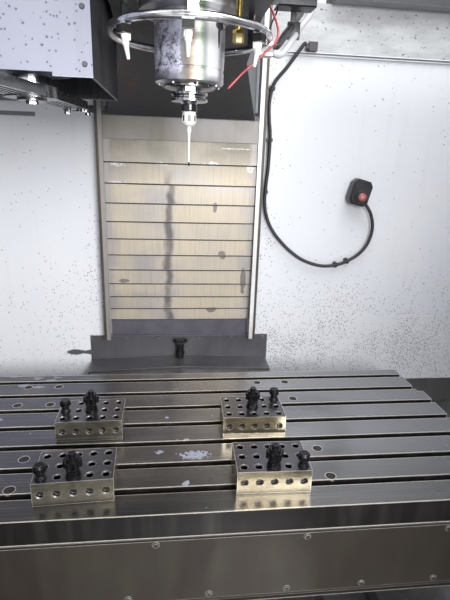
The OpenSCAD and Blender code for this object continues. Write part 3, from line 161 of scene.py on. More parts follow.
# Across, out from the wall, up
conduitPoints = [
    (374, 21, ledgeZ + 18.6), (368, 21, ledgeZ + 17.4), (356, 20.5, ledgeZ + 1), (341, 19, ledgeZ - 20),
    (319, 14, 1809), (301, 10, 1788), (288, 10, 1771), (280, 10, 1752), (275, 10, 1728), (273, 10, 1697),
    (276, 10, 1655), (281, 10, 1620), (282, 10, 1575), (281, 10, 1512), (278, 10, 1472), (276, 10, 1436),
    (276, 10, 1404), (282, 10, 1367), (296, 10, 1330), (317, 10, 1297), (344, 10, 1267), (375, 10, 1239),
    (411, 10, 1214), (450, 10, 1197), (497, 10, 1187), (543, 10, 1191), (583, 10, 1205), (621, 12, 1231),
    (646, 14, 1264), (657, 16, 1303), (656, 18, 1338), (645, 21, 1370), (634, 22, 1388), (623, 22, 1402.2)]
# Across, away, above the ring
silverPoints = [
    (143.4, -476, -17), (149, -476, -17.5), (156, -467, -18), (166, -453, -12), (181, -432, 6),
    (199, -405, 29), (217, -378, 53), (235, -352, 74), (252, -320, 104), (256, -290, 146),
    (246, -268, 191), (222, -256, 229), (198, -248, 262), (186, -246, 291)]
blackPoints = [
    (143.4, -468, -6.5), (149, -467, -5.5), (160, -452, 4), (174, -430, 23), (190, -405, 42),
    (206, -380, 63), (222, -352, 85), (236, -320, 117), (236, -292, 159), (222, -274, 201),
    (196, -266, 236), (174, -263, 266), (168, -262, 291)]
loopPoints = [
    (158, -452, 2), (149, -438, 7), (146, -430, 18), (147, -424, 32), (151, -420, 45), (157, -418, 57),
    (160, -416, 66.8)]
airPoints = [
    (66, -490, -79), (91, -490, -53), (116, -490, -31), (133, -490.5, -15), (145, -488, -3),
    (152, -475, 15), (152, -455, 35), (149, -430, 57), (146, -396, 84), (144, -360, 130),
    (144, -320, 190), (148, -290, 240), (151, -266, 268), (152, -262, 282), (152, -262, 290.6)]


def aboveRing(points):
    return [(x, y, ringZ + z) for x, y, z in points]


conduit = makeCord("receiverConduit", [(x, wallY - off, z) for x, off, z in conduitPoints], conduitFacts,
                   "machine", "black_rubber", ["receiver_cable"])
silverHose = makeCord("silverHose", aboveRing(silverPoints), hoseFacts, "head", "grey_hose", ["head_hoses"])
blackHose = makeCord("blackHose", aboveRing(blackPoints), {**hoseFacts, "diameter": 0.013}, "head",
                     "grey_hose", ["head_hoses"])
loopWire = makeCord("loopWire", aboveRing(loopPoints), wireFacts, "head", "grey_hose", ["head_hoses"])
airLine = makeCord("airLine", aboveRing(airPoints[::-1]), airFacts, "head", "red_plastic", ["air_line"])
print("cords done")


# Light: a pale room, a broad soft lamp behind the operator, one over the open top, one at the rear
lightFacts = {
    "worldColour": (0.93, 0.95, 1.0),
    "worldStrength": 0.5,
    "frontLamp": {"place": (0.64, -2.70, 2.00), "aim": (0.05, 0.2, 1.25), "size": (1.2, 1.0), "watts": 90},
    "topLamp": {"place": (0.55, -0.75, 2.95), "aim": (0.1, 0.1, 1.0), "size": (1.3, 1.3), "watts": 22},
    "roomLamp": {"place": (-2.6, -3.4, 3.2), "aim": (0.0, 0.0, 1.0), "size": (2.4, 2.0), "watts": 30},
    "backLamp": {"place": (1.9, 3.6, 3.0), "aim": (0.0, 0.8, 1.2), "size": (2.4, 2.0), "watts": 55},
}


def lightRoom(facts):
    world = bpy.data.worlds.new("paleRoom")
    bpy.context.scene.world = world
    world.use_nodes = True
    tree = world.node_tree
    tree.nodes.clear()
    out = tree.nodes.new("ShaderNodeOutputWorld")
    shown = tree.nodes.new("ShaderNodeBackground")
    shown.inputs["Color"].default_value = (1, 1, 1, 1)
    shown.inputs["Strength"].default_value = 1.0
    lit = tree.nodes.new("ShaderNodeBackground")
    lit.inputs["Color"].default_value = (*facts["worldColour"], 1)
    lit.inputs["Strength"].default_value = facts["worldStrength"]
    path = tree.nodes.new("ShaderNodeLightPath")
    seen = path.outputs["Is Camera Ray"]
    for kind in ("Is Glossy Ray", "Is Transmission Ray"):
        either = tree.nodes.new("ShaderNodeMath")
        either.operation = "MAXIMUM"
        tree.links.new(seen, either.inputs[0])
        tree.links.new(path.outputs[kind], either.inputs[1])
        seen = either.outputs[0]
    mix = tree.nodes.new("ShaderNodeMixShader")
    tree.links.new(seen, mix.inputs[0])
    tree.links.new(lit.outputs[0], mix.inputs[1])
    tree.links.new(shown.outputs[0], mix.inputs[2])
    tree.links.new(mix.outputs[0], out.inputs[0])
    for name in ("frontLamp", "topLamp", "roomLamp", "backLamp"):
        lamp = facts[name]
        data = bpy.data.lights.new(name, "AREA")
        data.shape = "RECTANGLE"
        data.size, data.size_y = lamp["size"]
        data.energy = lamp["watts"]
        obj = bpy.data.objects.new(name, data)
        obj.location = lamp["place"]
        ahead = Vector(lamp["aim"]) - Vector(lamp["place"])
        obj.rotation_euler = ahead.to_track_quat("-Z", "Y").to_euler()
        bpy.context.scene.collection.objects.link(obj)


lightRoom(lightFacts)
bpy.context.scene.view_settings.view_transform = "Standard"
print("light set")


# A finish while it is put together: each helper adds shader nodes and hands back a socket
class Finish:
    def __init__(self, name, seed=0.0):
        self.mat = bpy.data.materials.new(name)
        self.mat.use_nodes = True
        self.tree = self.mat.node_tree
        self.shader = self.tree.nodes["Principled BSDF"]
        coords = self.tree.nodes.new("ShaderNodeTexCoord")
        self.real = coords.outputs["Object"]
        self.place = self.real
        if seed:
            shift = (seed, seed * 1.7, seed * 0.6)
            self.place = self.add("ShaderNodeMapping", Vector=self.real, Location=shift).outputs[0]
        self.x, self.y, self.z = self.add("ShaderNodeSeparateXYZ", Vector=self.real).outputs
        facing = self.add("ShaderNodeSeparateXYZ", Vector=coords.outputs["Normal"])
        self.toX, self.toY, self.toZ = facing.outputs

    def add(self, kind, **sockets):
        node = self.tree.nodes.new(kind)
        for key, value in sockets.items():
            self.put(node, key, value)
        return node

    def put(self, node, key, value):
        socket = node.inputs[int(key[1:])] if key[0] == "i" and key[1:].isdigit() else node.inputs[key]
        if isinstance(value, bpy.types.NodeSocket):
            self.tree.links.new(value, socket)
        elif isinstance(value, (tuple, list)) and len(value) == 3 and len(socket.default_value) == 4:
            socket.default_value = (*value, 1)
        else:
            socket.default_value = value

    def stretched(self, scale):
        if not scale:
            return self.place
        return self.add("ShaderNodeMapping", Vector=self.place, Scale=scale).outputs[0]

    def noise(self, scale, detail=4.0, rough=0.55, stretch=None, warp=0.0):
        node = self.add("ShaderNodeTexNoise", Vector=self.stretched(stretch), Scale=scale, Detail=detail,
                        Roughness=rough, Distortion=warp)
        return node.outputs["Fac"]

    def cells(self, scale):
        return self.add("ShaderNodeTexVoronoi", Vector=self.place, Scale=scale).outputs

    # A value that runs from one figure to another while the first runs from low to high
    def ramp(self, fac, low, high, lowTo=0.0, highTo=1.0):
        return self.add("ShaderNodeMapRange", i0=fac, i1=low, i2=high, i3=lowTo, i4=highTo).outputs[0]

    def maths(self, kind, a, b=0.0):
        node = self.tree.nodes.new("ShaderNodeMath")
        node.operation = kind
        self.put(node, "i0", a)
        self.put(node, "i1", b)
        return node.outputs[0]

    def times(self, *parts):
        out = parts[0]
        for part in parts[1:]:
            out = self.maths("MULTIPLY", out, part)
        return out

    def most(self, *parts):
        out = parts[0]
        for part in parts[1:]:
            out = self.maths("MAXIMUM", out, part)
        return out

    def size(self, value):
        return self.maths("ABSOLUTE", value)

    def mix(self, fac, a, b):
        node = self.tree.nodes.new("ShaderNodeMix")
        node.data_type = "RGBA"
        self.put(node, "i0", fac)
        self.put(node, "i6", a)
        self.put(node, "i7", b)
        return node.outputs[2]

    def blend(self, fac, a, b):
        node = self.tree.nodes.new("ShaderNodeMix")
        self.put(node, "i0", fac)
        self.put(node, "i2", a)
        self.put(node, "i3", b)
        return node.outputs[0]

    # 1 on ridges that a small rounding would touch, 0 on flats
    def edges(self, radius, samples=4):
        rounded = self.tree.nodes.new("ShaderNodeBevel")
        rounded.samples = samples
        rounded.inputs["Radius"].default_value = radius
        flat = self.tree.nodes.new("ShaderNodeNewGeometry").outputs["Normal"]
        dot = self.tree.nodes.new("ShaderNodeVectorMath")
        dot.operation = "DOT_PRODUCT"
        self.tree.links.new(rounded.outputs[0], dot.inputs[0])
        self.tree.links.new(flat, dot.inputs[1])
        return self.ramp(dot.outputs["Value"], 0.985, 0.90)

    # 1 in corners and holes, 0 in the open
    def corners(self, distance, samples=6):
        node = self.tree.nodes.new("ShaderNodeAmbientOcclusion")
        node.samples = samples
        node.inputs["Distance"].default_value = distance
        return self.ramp(node.outputs["AO"], 0.75, 0.25)

    # 1 inside a band of one coordinate, with soft ends
    def band(self, value, low, high, soft=0.002):
        above = self.ramp(value, low - soft, low + soft)
        below = self.ramp(value, high + soft, high - soft)
        return self.times(above, below)

    # 1 past a place along one coordinate, 0 before it, with a short run between; the sign turns it round
    def past(self, value, place, run=0.0004):
        return self.ramp(value, place, place + run)

    # 1 inside an oval on two coordinates, its border broken up by noise
    def oval(self, across, along, middle, half, ragged=0.0, scale=40.0):
        a = self.maths("DIVIDE", self.maths("SUBTRACT", across, middle[0]), half[0])
        b = self.maths("DIVIDE", self.maths("SUBTRACT", along, middle[1]), half[1])
        ring = self.maths("ADD", self.times(a, a), self.times(b, b))
        if ragged:
            ring = self.maths("ADD", ring, self.ramp(self.noise(scale, 3.0), 0.3, 0.7, -ragged, ragged))
        return self.ramp(ring, 1.05, 0.75)

    def finish(self, colour, roughness, metallic=0.0, height=None, depth=0.0002):
        self.put(self.shader, "Base Color", colour)
        self.put(self.shader, "Roughness", roughness)
        self.put(self.shader, "Metallic", metallic)
        if height is not None:
            bump = self.add("ShaderNodeBump", Height=height, Distance=depth, Strength=1.0)
            self.tree.links.new(bump.outputs[0], self.shader.inputs["Normal"])
        return self.mat


def darker(colour, share):
    return tuple(share * c for c in colour)


def paler(colour, step, share=1.0):
    return tuple(min(1.0, c * share + step) for c in colour)


# Painted sheet: fine orange peel, runs, grime and painted shade in the corners, dried specks of coolant and
# chips
paintFacts = {
    "rearWall": {"colour": (0.87, 0.885, 0.92), "tint": (0.83, 0.85, 0.90), "rough": 0.36, "specks": 0.9},
    "changerCover": {"colour": (0.36, 0.375, 0.45), "tint": (0.31, 0.32, 0.39), "rough": 0.42,
                     "specks": 0.75},
    "skin": {"colour": (0.60, 0.605, 0.625), "tint": (0.56, 0.565, 0.59), "rough": 0.42, "specks": 0.0},
    "speckColour": (0.10, 0.10, 0.12), "speckCells": ((210.0, 0.42), (120.0, 0.30), (62.0, 0.13)),
    "cornerGrimeAndShade": (0.33, 0.32, 0.33), "trimDark": (0.055, 0.058, 0.066),
}


def paintedSheet(name, facts, zones=None):
    f = Finish(name)
    colour = f.mix(f.ramp(f.noise(2.3, 3.0), 0.35, 0.7), facts["colour"], facts["tint"])
    runs = f.noise(3.0, 5.0, 0.6, stretch=(14, 14, 0.7))
    colour = f.mix(f.ramp(runs, 0.55, 0.85, 0.0, 0.35), colour, darker(facts["tint"], 0.82))
    peel = f.noise(420.0, 2.0)
    rough = f.ramp(f.noise(26.0, 4.0), 0.3, 0.7, facts["rough"] - 0.06, facts["rough"] + 0.10)
    if facts["specks"]:
        amount = f.ramp(f.noise(5.5, 3.0), 0.42, 0.72, 0.15, 1.0)
        if zones:
            amount = zones(f, amount)
        for scale, size in paintFacts["speckCells"]:
            cell = f.cells(scale)
            dot = f.ramp(cell["Distance"], size, size * 0.6)
            chance = f.add("ShaderNodeSeparateColor", Color=cell["Color"]).outputs[0]
            speck = f.times(dot, f.maths("LESS_THAN", chance, f.times(amount, facts["specks"] * 0.40)))
            colour = f.mix(f.times(speck, 0.85), colour, paintFacts["speckColour"])
    # Darker in the corners: grime there, and painted shade
    cornerGrimeAndShade = f.times(f.corners(0.03), f.ramp(f.noise(30.0), 0.3, 0.7, 0.2, 0.6))
    colour = f.mix(cornerGrimeAndShade, colour, paintFacts["cornerGrimeAndShade"])
    return f, colour, rough, peel


wallFacts = {"ledge": 1.8595, "ledgeColour": (0.40, 0.41, 0.42), "slotShade": (0.20, 0.21, 0.22),
             "slotY": 0.2105, "slotX": -0.40, "wetDirt": (0.03, 0.03, 0.035),
             "splash": ((-0.345, 0.862), (0.075, 0.010)),
             "lowZ": (1.30, 0.86), "rightX": (0.26, 1.0), "besideX": (0.26, 0.32)}


# Where the specks lie: thick low down at the right, thin at the left, more beside the channels
def wallZones(f, amount):
    low = f.ramp(f.z, *wallFacts["lowZ"], 0.0, 0.55)
    patches = f.ramp(f.noise(7.0), 0.36, 0.62)
    right = f.times(f.band(f.x, *wallFacts["rightX"], 0.14), f.ramp(f.z, 1.16, 0.90, 0.0, 2.6), patches)
    beside = f.times(f.band(f.size(f.x), *wallFacts["besideX"], 0.02), f.ramp(f.z, 1.6, 1.2, 0.2, 0.9))
    return f.most(f.times(amount, f.most(low, 0.06)), right, f.times(amount, beside))


def rearWallFinish(facts):
    f, colour, rough, peel = paintedSheet("rearWallPaint", paintFacts["rearWall"], wallZones)
    pale = facts["ledgeColour"]
    smears = f.ramp(f.noise(9.0, 4.0, 0.6, stretch=(1.0, 3.0, 3.0)), 0.4, 0.6)
    above = f.ramp(f.z, facts["ledge"] - 0.001, facts["ledge"] + 0.001)
    colour = f.mix(above, colour, f.mix(smears, pale, darker(pale, 1.25)))
    crumbs = f.ramp(f.noise(130.0, 2.0, 0.5, stretch=(0.6, 1.0, 1.0)), 0.66, 0.70)
    crumbs = f.times(crumbs, f.past(f.z, facts["ledge"], 0.002))
    colour = f.mix(crumbs, colour, darker(pale, 0.3))
    # The slots at the left of the wall are painted dark: painted shade inside them
    slots = f.times(f.past(f.y, facts["slotY"], -0.0007), f.past(f.x, facts["slotX"], -0.04))
    colour = f.mix(slots, colour, facts["slotShade"])
    splash = f.oval(f.x, f.z, *facts["splash"], 0.7, 30.0)
    colour = f.mix(f.times(splash, 0.9), colour, facts["wetDirt"])
    return f.finish(colour, rough, 0.0, peel, 0.00004)


changerFacts = {"frontY": -0.5545, "flankX": -0.17, "leftX": -0.483, "flankShade": (0.040, 0.041, 0.046),
                "beamY": -0.093, "beamZ": 2.06, "beam": (0.27, 0.28, 0.30),
                "screwY": -0.58, "screw": (0.10, 0.10, 0.11), "rimZ": 1.664, "rimHighlight": (0.75, 0.75, 0.78)}


def changerCoverFinish(facts):
    f, colour, rough, peel = paintedSheet("changerCoverPaint", paintFacts["changerCover"])
    # The right flank, the inside and the underside of the cover are painted near black: painted shade, with
    # faint lighter streaks
    flankShade = f.times(f.ramp(f.toX, 0.4, 0.6), f.past(f.x, facts["flankX"], 0.015))
    inner = f.times(f.past(f.y, facts["frontY"] + 0.002, 0.001), f.past(f.x, facts["leftX"], 0.001))
    streaks = f.ramp(f.noise(4.0, 4.0, 0.6, stretch=(9, 9, 0.6)), 0.45, 0.7)
    grimeAndShade = f.mix(streaks, facts["flankShade"], darker(facts["flankShade"], 2.0))
    colour = f.mix(f.most(flankShade, inner, f.ramp(f.toZ, -0.4, -0.6)), colour, grimeAndShade)
    beams = f.times(f.past(f.y, facts["beamY"], 0.0015), f.past(f.z, facts["beamZ"], 0.03))
    colour = f.mix(beams, colour, facts["beam"])
    heads = f.times(f.past(f.y, facts["frontY"] - 0.0003, -0.0005), f.past(f.y, facts["screwY"], 0.01))
    colour = f.mix(heads, colour, facts["screw"])
    # A painted highlight along the cover's lower edges
    rimHighlight = f.times(f.edges(0.002), f.past(f.z, facts["rimZ"], -0.003))
    colour = f.mix(f.times(rimHighlight, 0.8), colour, facts["rimHighlight"])
    return f.finish(colour, rough, 0.0, peel, 0.00004)


# The outer skin; dark is the function that says where its trim lies
def skinFinish(name, dark):
    f, colour, rough, peel = paintedSheet(name, paintFacts["skin"])
    colour = f.mix(dark(f), colour, paintFacts["trimDark"])
    return f.finish(colour, rough, 0.0, peel, 0.00005)


# Castings: thick paint over a sand-cast skin, rubbed through on ridges, oil and painted shade in the
# corners
castingFacts = {"colour": (0.25, 0.26, 0.285), "worn": (0.36, 0.37, 0.39), "oilAndShade": (0.07, 0.065, 0.06),
                "rough": 0.46, "skin": 0.0006}


def castingFinish(name, colour, worn, rough):
    f = Finish(name)
    grain = f.noise(60.0, 5.0, 0.6)
    shade = f.mix(f.ramp(f.noise(3.0), 0.35, 0.7), colour, darker(colour, 0.86))
    shade = f.mix(f.times(f.edges(0.003), f.ramp(f.noise(34.0), 0.45, 0.6)), shade, worn)
    # Darker in the corners: oil and painted shade
    shade = f.mix(f.times(f.corners(0.05), 0.6), shade, castingFacts["oilAndShade"])
    rough = f.ramp(grain, 0.3, 0.7, rough - 0.06, rough + 0.12)
    return f.finish(shade, rough, 0.0, grain, castingFacts["skin"])


# Way cover panels: brushed sheet steel with grey margins, cream sheens, one long dark run of coolant,
# painted highlights on the hems and painted shade in the corners
coverFacts = {
    "cream": (0.56, 0.49, 0.38), "grey": (0.40, 0.375, 0.365), "olive": (0.22, 0.205, 0.165),
    "stain": (0.10, 0.09, 0.10), "cornerShade": (0.06, 0.055, 0.055),
    "white": (0.80, 0.79, 0.80), "marginX": 0.222, "rough": 0.40,
    "leftSheen": (-0.215, -0.160), "rightSheen": (-0.010, 0.200), "sheenTop": (1.50, 1.38),
    "sheenFoot": (0.93, 1.02), "oliveZ": (1.46, 1.56),
    "runX": (-0.051, -0.029), "runTop": (1.50, 1.46), "runFoot": (0.92, 0.96),
    "smears": (((0.110, 1.384), (0.008, 0.016)), ((0.139, 1.223), (0.012, 0.018)),
               ((0.109, 1.022), (0.020, 0.010)),
               ((-0.193, 1.130), (0.020, 0.008)), ((0.215, 1.13), (0.010, 0.05))),
    "glints": (((-0.193, 1.512), (0.022, 0.008)), ((0.091, 1.520), (0.024, 0.006)),
               ((-0.06, 1.516), (0.018, 0.005)), ((0.221, 1.508), (0.018, 0.010)),
               ((-0.200, 1.455), (0.030, 0.006)), ((0.165, 1.568), (0.070, 0.0018))),
}


def coverPanelFinish(name, seed, facts=coverFacts):
    f = Finish(name, seed)
    soft = f.noise(4.2, 2.0, 0.5, stretch=(1.0, 1.0, 2.0), warp=0.5)
    colour = f.mix(f.ramp(soft, 0.36, 0.62), facts["grey"], facts["cream"])
    leftSheen = f.band(f.x, *facts["leftSheen"], 0.018)
    rightSheen = f.times(f.band(f.x, *facts["rightSheen"], 0.016), 0.9)
    sheen = f.times(f.most(leftSheen, rightSheen), f.ramp(f.z, *facts["sheenTop"]),
                    f.ramp(f.z, *facts["sheenFoot"]))
    colour = f.mix(f.times(sheen, 0.75), colour, facts["cream"])
    high = f.times(f.ramp(f.z, *facts["oliveZ"]), f.ramp(f.noise(9.0, 3.0), 0.3, 0.6, 0.6, 1.0))
    colour = f.mix(high, colour, facts["olive"])
    wavy = f.maths("ADD", f.size(f.x), f.ramp(f.noise(16.0, 2.0), 0.3, 0.7, -0.008, 0.008))
    margin = f.ramp(wavy, facts["marginX"] - 0.006, facts["marginX"] + 0.006)
    colour = f.mix(f.times(margin, 0.7), colour, facts["grey"])
    wander = f.maths("ADD", f.x, f.ramp(f.noise(7.0, 3.0), 0.3, 0.7, -0.014, 0.014))
    patchy = f.ramp(f.noise(12.0, 3.0), 0.30, 0.52, 0.35, 1.0)
    run = f.times(f.band(wander, *facts["runX"], 0.006), f.ramp(f.z, *facts["runTop"]),
                  f.ramp(f.z, *facts["runFoot"]), patchy)
    for middle, half in facts["smears"]:
        run = f.most(run, f.times(f.oval(f.x, f.z, middle, half, 0.5), 0.8))
    colour = f.mix(f.times(run, 0.85), colour, facts["stain"])
    broken = f.ramp(f.noise(120.0), 0.35, 0.6)
    for middle, half in facts["glints"]:
        glint = f.times(f.oval(f.x, f.z, middle, half, 1.1, 70.0), broken, 0.75)
        colour = f.mix(glint, colour, facts["white"])
    brush = f.noise(260.0, 3.0, 0.6, stretch=(1.0, 1.0, 0.03))
    colour = f.mix(f.ramp(brush, 0.45, 0.8, 0.0, 0.25), colour, facts["stain"])
    # A painted highlight along the hems and edges
    colour = f.mix(f.times(f.edges(0.0014), 0.8), colour, facts["white"])
    # Painted shade in the corners under each hem
    colour = f.mix(f.times(f.corners(0.006), 0.8), colour, facts["cornerShade"])
    rough = f.ramp(soft, 0.3, 0.7, facts["rough"] - 0.05, facts["rough"] + 0.09)
    return f.finish(colour, f.blend(run, rough, 0.5), 0.35, brush, 0.00003)


# Sheet steel brushed along one axis
steelFacts = {"edge": (0.70, 0.69, 0.66), "cornerShade": (0.05, 0.045, 0.04), "ringShade": (0.05, 0.05, 0.05)}


def sheetSteelFinish(name, light, dark, rough, axis, seed=0.0, metal=0.9):
    f = Finish(name, seed)
    brush = f.noise(700.0, 2.0, 0.5, stretch=tuple(0.015 if letter == axis else 1.0 for letter in "XYZ"))
    cloud = f.noise(3.2, 4.0, 0.6, stretch=(1.0, 1.0, 0.45), warp=0.8)
    colour = f.mix(f.ramp(cloud, 0.35, 0.68), light, dark)
    streak = f.noise(30.0, 3.0, 0.5, stretch=(1.0, 1.0, 0.10))
    colour = f.mix(f.ramp(streak, 0.5, 0.8, 0.0, 0.35), colour, darker(light, 1.3))
    colour = f.mix(f.times(f.edges(0.0015), 0.8), colour, steelFacts["edge"])
    # Painted shade in the corners
    colour = f.mix(f.times(f.corners(0.02), 0.7), colour, steelFacts["cornerShade"])
    rough = f.ramp(cloud, 0.3, 0.7, rough - 0.06, rough + 0.1)
    return f.finish(colour, rough, metal, brush, 0.00003)


# The table: ground along its length, bluish at the left, pale dried coolant, painted near-black shade down
# its front and in its slots, painted highlights on its edges
tableFacts = {
    "left": (0.105, 0.105, 0.130), "right": (0.34, 0.34, 0.35), "sideX": (-0.15, 0.35),
    "front": (0.14, 0.137, 0.13), "nearY": (-0.42, -0.58), "paleX": (0.30, 0.15),
    "sideShade": (0.009, 0.007, 0.007), "edgeStreak": (0.034, 0.031, 0.029), "rub": (0.40, 0.39, 0.38),
    "lip": (0.90, 0.86, 0.76), "residue": (0.50, 0.54, 0.70), "topZ": 0.8995,
    "brown": (0.25, 0.21, 0.165), "pit": (0.05, 0.05, 0.055),
    "stains": (((0.021, -0.461), (0.030, 0.016)), ((-0.002, -0.554), (0.008, 0.008)),
               ((-0.017, -0.408), (0.007, 0.009)), ((-0.495, -0.050), (0.016, 0.006)),
               ((-0.425, -0.064), (0.014, 0.006)), ((-0.455, -0.110), (0.013, 0.007)),
               ((-0.383, -0.078), (0.014, 0.006)), ((-0.370, -0.060), (0.012, 0.005)),
               ((-0.41, -0.120), (0.016, 0.007)), ((-0.470, -0.290), (0.018, 0.008)),
               ((-0.40, -0.330), (0.015, 0.010)), ((-0.31, -0.300), (0.010, 0.006)),
               ((-0.06, -0.445), (0.008, 0.006)), ((0.004, -0.402), (0.006, 0.008)),
               ((-0.044, -0.30), (0.006, 0.005))),
}


def tableFinish(facts):
    f = Finish("groundTable")
    onTop = f.times(f.ramp(f.z, facts["topZ"] - 0.0006, facts["topZ"]), f.ramp(f.toZ, 0.4, 0.6))
    cloud = f.noise(4.0, 4.0, 0.6, stretch=(0.8, 2.0, 1.0), warp=0.5)
    side = f.ramp(f.maths("ADD", f.x, f.ramp(cloud, 0.3, 0.7, -0.12, 0.12)), *facts["sideX"])
    top = f.mix(side, facts["left"], facts["right"])
    near = f.times(f.ramp(f.y, *facts["nearY"]), 0.6)
    top = f.mix(near, top, facts["front"])
    rub = f.noise(260.0, 3.0, 0.5, stretch=(0.02, 1.0, 1.0))
    top = f.mix(f.ramp(rub, 0.5, 0.8, 0.0, 0.40), top, facts["rub"])
    top = f.mix(f.ramp(f.noise(7.0, 3.0), 0.58, 0.72, 0.0, 0.4), top, facts["brown"])
    speckle = f.noise(170.0, 3.0)
    pale = f.ramp(f.noise(52.0, 2.5, 0.45, stretch=(0.7, 1.0, 1.0)), 0.735, 0.755, 0.0, 0.6)
    ragged = f.ramp(speckle, 0.3, 0.55, 0.45, 1.0)
    for middle, half in facts["stains"]:
        pale = f.most(pale, f.times(f.oval(f.x, f.y, middle, half, 1.2, 110.0), ragged))
    pale = f.times(pale, f.ramp(f.x, *facts["paleX"], 0.35, 1.0))
    top = f.mix(f.times(pale, 0.7), top, facts["residue"])
    pits = f.ramp(f.cells(75.0)["Distance"], 0.07, 0.05)
    top = f.mix(f.times(pits, f.ramp(f.noise(13.0), 0.5, 0.6)), top, facts["pit"])
    # Every face but the top is painted near black with lighter streaks: painted shade down the front and
    # inside the slots
    streak = f.ramp(f.noise(34.0, 3.0, 0.5, stretch=(1.0, 1.0, 0.08)), 0.5, 0.8)
    colour = f.mix(onTop, f.mix(streak, facts["sideShade"], facts["edgeStreak"]), top)
    # A painted highlight along the edges of the top and the slots
    worn = f.edges(0.0042, 6)
    colour = f.mix(worn, colour, facts["lip"])
    metal = f.blend(onTop, 0.25, f.ramp(pale, 0.0, 1.0, 0.92, 0.2))
    rough = f.blend(onTop, 0.46, f.most(f.ramp(cloud, 0.3, 0.7, 0.19, 0.30), f.times(pale, 0.6)))
    return f.finish(colour, f.blend(worn, rough, 0.35), metal, rub, 0.00004)


# Turned steel: fine rings round the axis
def turnedSteelFinish(name, colour, rough, bands):
    f = Finish(name)
    rings = f.noise(bands, 2.0, 0.5, stretch=(0.02, 0.02, 1.0))
    shade = f.mix(f.ramp(rings, 0.35, 0.7), colour, darker(colour, 0.82))
    # Painted shade in the grooves and corners
    shade = f.mix(f.times(f.corners(0.008), 0.6), shade, steelFacts["ringShade"])
    return f.finish(shade, f.ramp(rings, 0.3, 0.7, rough - 0.04, rough + 0.05), 1.0, rings, 0.00003)


# Spindle housing: turned, with dried splashes at the left, a painted warm reflection down the middle with a
# painted green line beside it, a bright glare and a wet run at the right
housingFacts = {"steel": (0.50, 0.50, 0.54), "splash": (0.78, 0.78, 0.95), "warmReflection": (0.12, 0.085, 0.045),
                "greenReflection": (0.22, 0.36, 0.15), "sheen": (0.95, 0.96, 0.97), "runDark": (0.06, 0.06, 0.07),
                "crumb": (0.12, 0.12, 0.17), "frontY": (-0.49, -0.50), "warmX": (-0.012, 0.012),
                "greenX": (0.015, 0.020), "glareX": (0.025, 0.048), "glareZ": (1.670, 1.775),
                "splashZ": (1.676, 1.768),
                "runs": (((0.047, 1.752), (0.008, 0.010), 0.5), ((0.046, 1.735), (0.0022, 0.022), 0.3))}


def housingFinish(facts):
    f = Finish("housingSteel")
    rings = f.noise(220.0, 2.0, 0.5, stretch=(0.02, 0.02, 1.0))
    shade = f.mix(f.ramp(rings, 0.35, 0.7), facts["steel"], darker(facts["steel"], 0.86))
    inFront = f.ramp(f.y, *facts["frontY"])
    # A painted warm reflection down the front, and a painted green reflection line beside it
    warmReflection = f.times(f.band(f.x, *facts["warmX"], 0.008), inFront)
    shade = f.mix(f.times(warmReflection, 0.9), shade, facts["warmReflection"])
    greenReflection = f.times(f.band(f.x, *facts["greenX"], 0.003), inFront)
    shade = f.mix(f.times(greenReflection, 0.8), shade, facts["greenReflection"])
    glare = f.times(f.band(f.x, *facts["glareX"], 0.004), inFront, f.band(f.z, *facts["glareZ"], 0.006))
    shade = f.mix(f.times(glare, 0.9), shade, facts["sheen"])
    wander = f.ramp(f.noise(24.0, 4.0, 0.6, stretch=(1.0, 1.0, 0.6)), 0.3, 0.7, -0.016, 0.016)
    edge = f.maths("ADD", f.x, wander)
    cover = f.times(f.ramp(edge, -0.012, -0.016), f.ramp(f.z, 1.775, 1.70, 0.35, 1.0),
                    f.band(f.z, *facts["splashZ"], 0.008))
    splash = f.times(cover, f.ramp(f.noise(90.0, 3.0, 0.6, warp=1.0), 0.36, 0.52))
    shade = f.mix(splash, shade, facts["splash"])
    crumbs = f.times(cover, f.ramp(f.noise(260.0, 2.0), 0.56, 0.62))
    shade = f.mix(f.times(crumbs, 0.8), shade, facts["crumb"])
    wet = f.most(*(f.oval(f.x, f.z, middle, half, ragged) for middle, half, ragged in facts["runs"]))
    shade = f.mix(f.times(wet, inFront), shade, facts["runDark"])
    # Painted shade in the grooves and corners
    shade = f.mix(f.times(f.corners(0.008), 0.6), shade, steelFacts["ringShade"])
    rough = f.most(f.ramp(rings, 0.3, 0.7, 0.30, 0.38), f.times(splash, 0.5), f.times(glare, 0.42))
    metal = f.blend(f.most(splash, glare, warmReflection), 0.95, 0.35)
    return f.finish(shade, rough, metal, f.maths("ADD", rings, splash), 0.00008)


# Ground blocks: a painted warm reflection, gold at the right and dimmer at the left, painted dark tops,
# painted shade in the holes, painted highlights on edges and rims
blockFacts = {"goldReflection": (0.50, 0.43, 0.29), "dimReflection": (0.38, 0.35, 0.27), "goldX": (-0.2, 0.15),
              "top": (0.125, 0.120, 0.135), "smudge": (0.13, 0.125, 0.11),
              "chamferHighlight": (0.92, 0.91, 0.88), "holeShade": (0.012, 0.011, 0.010)}


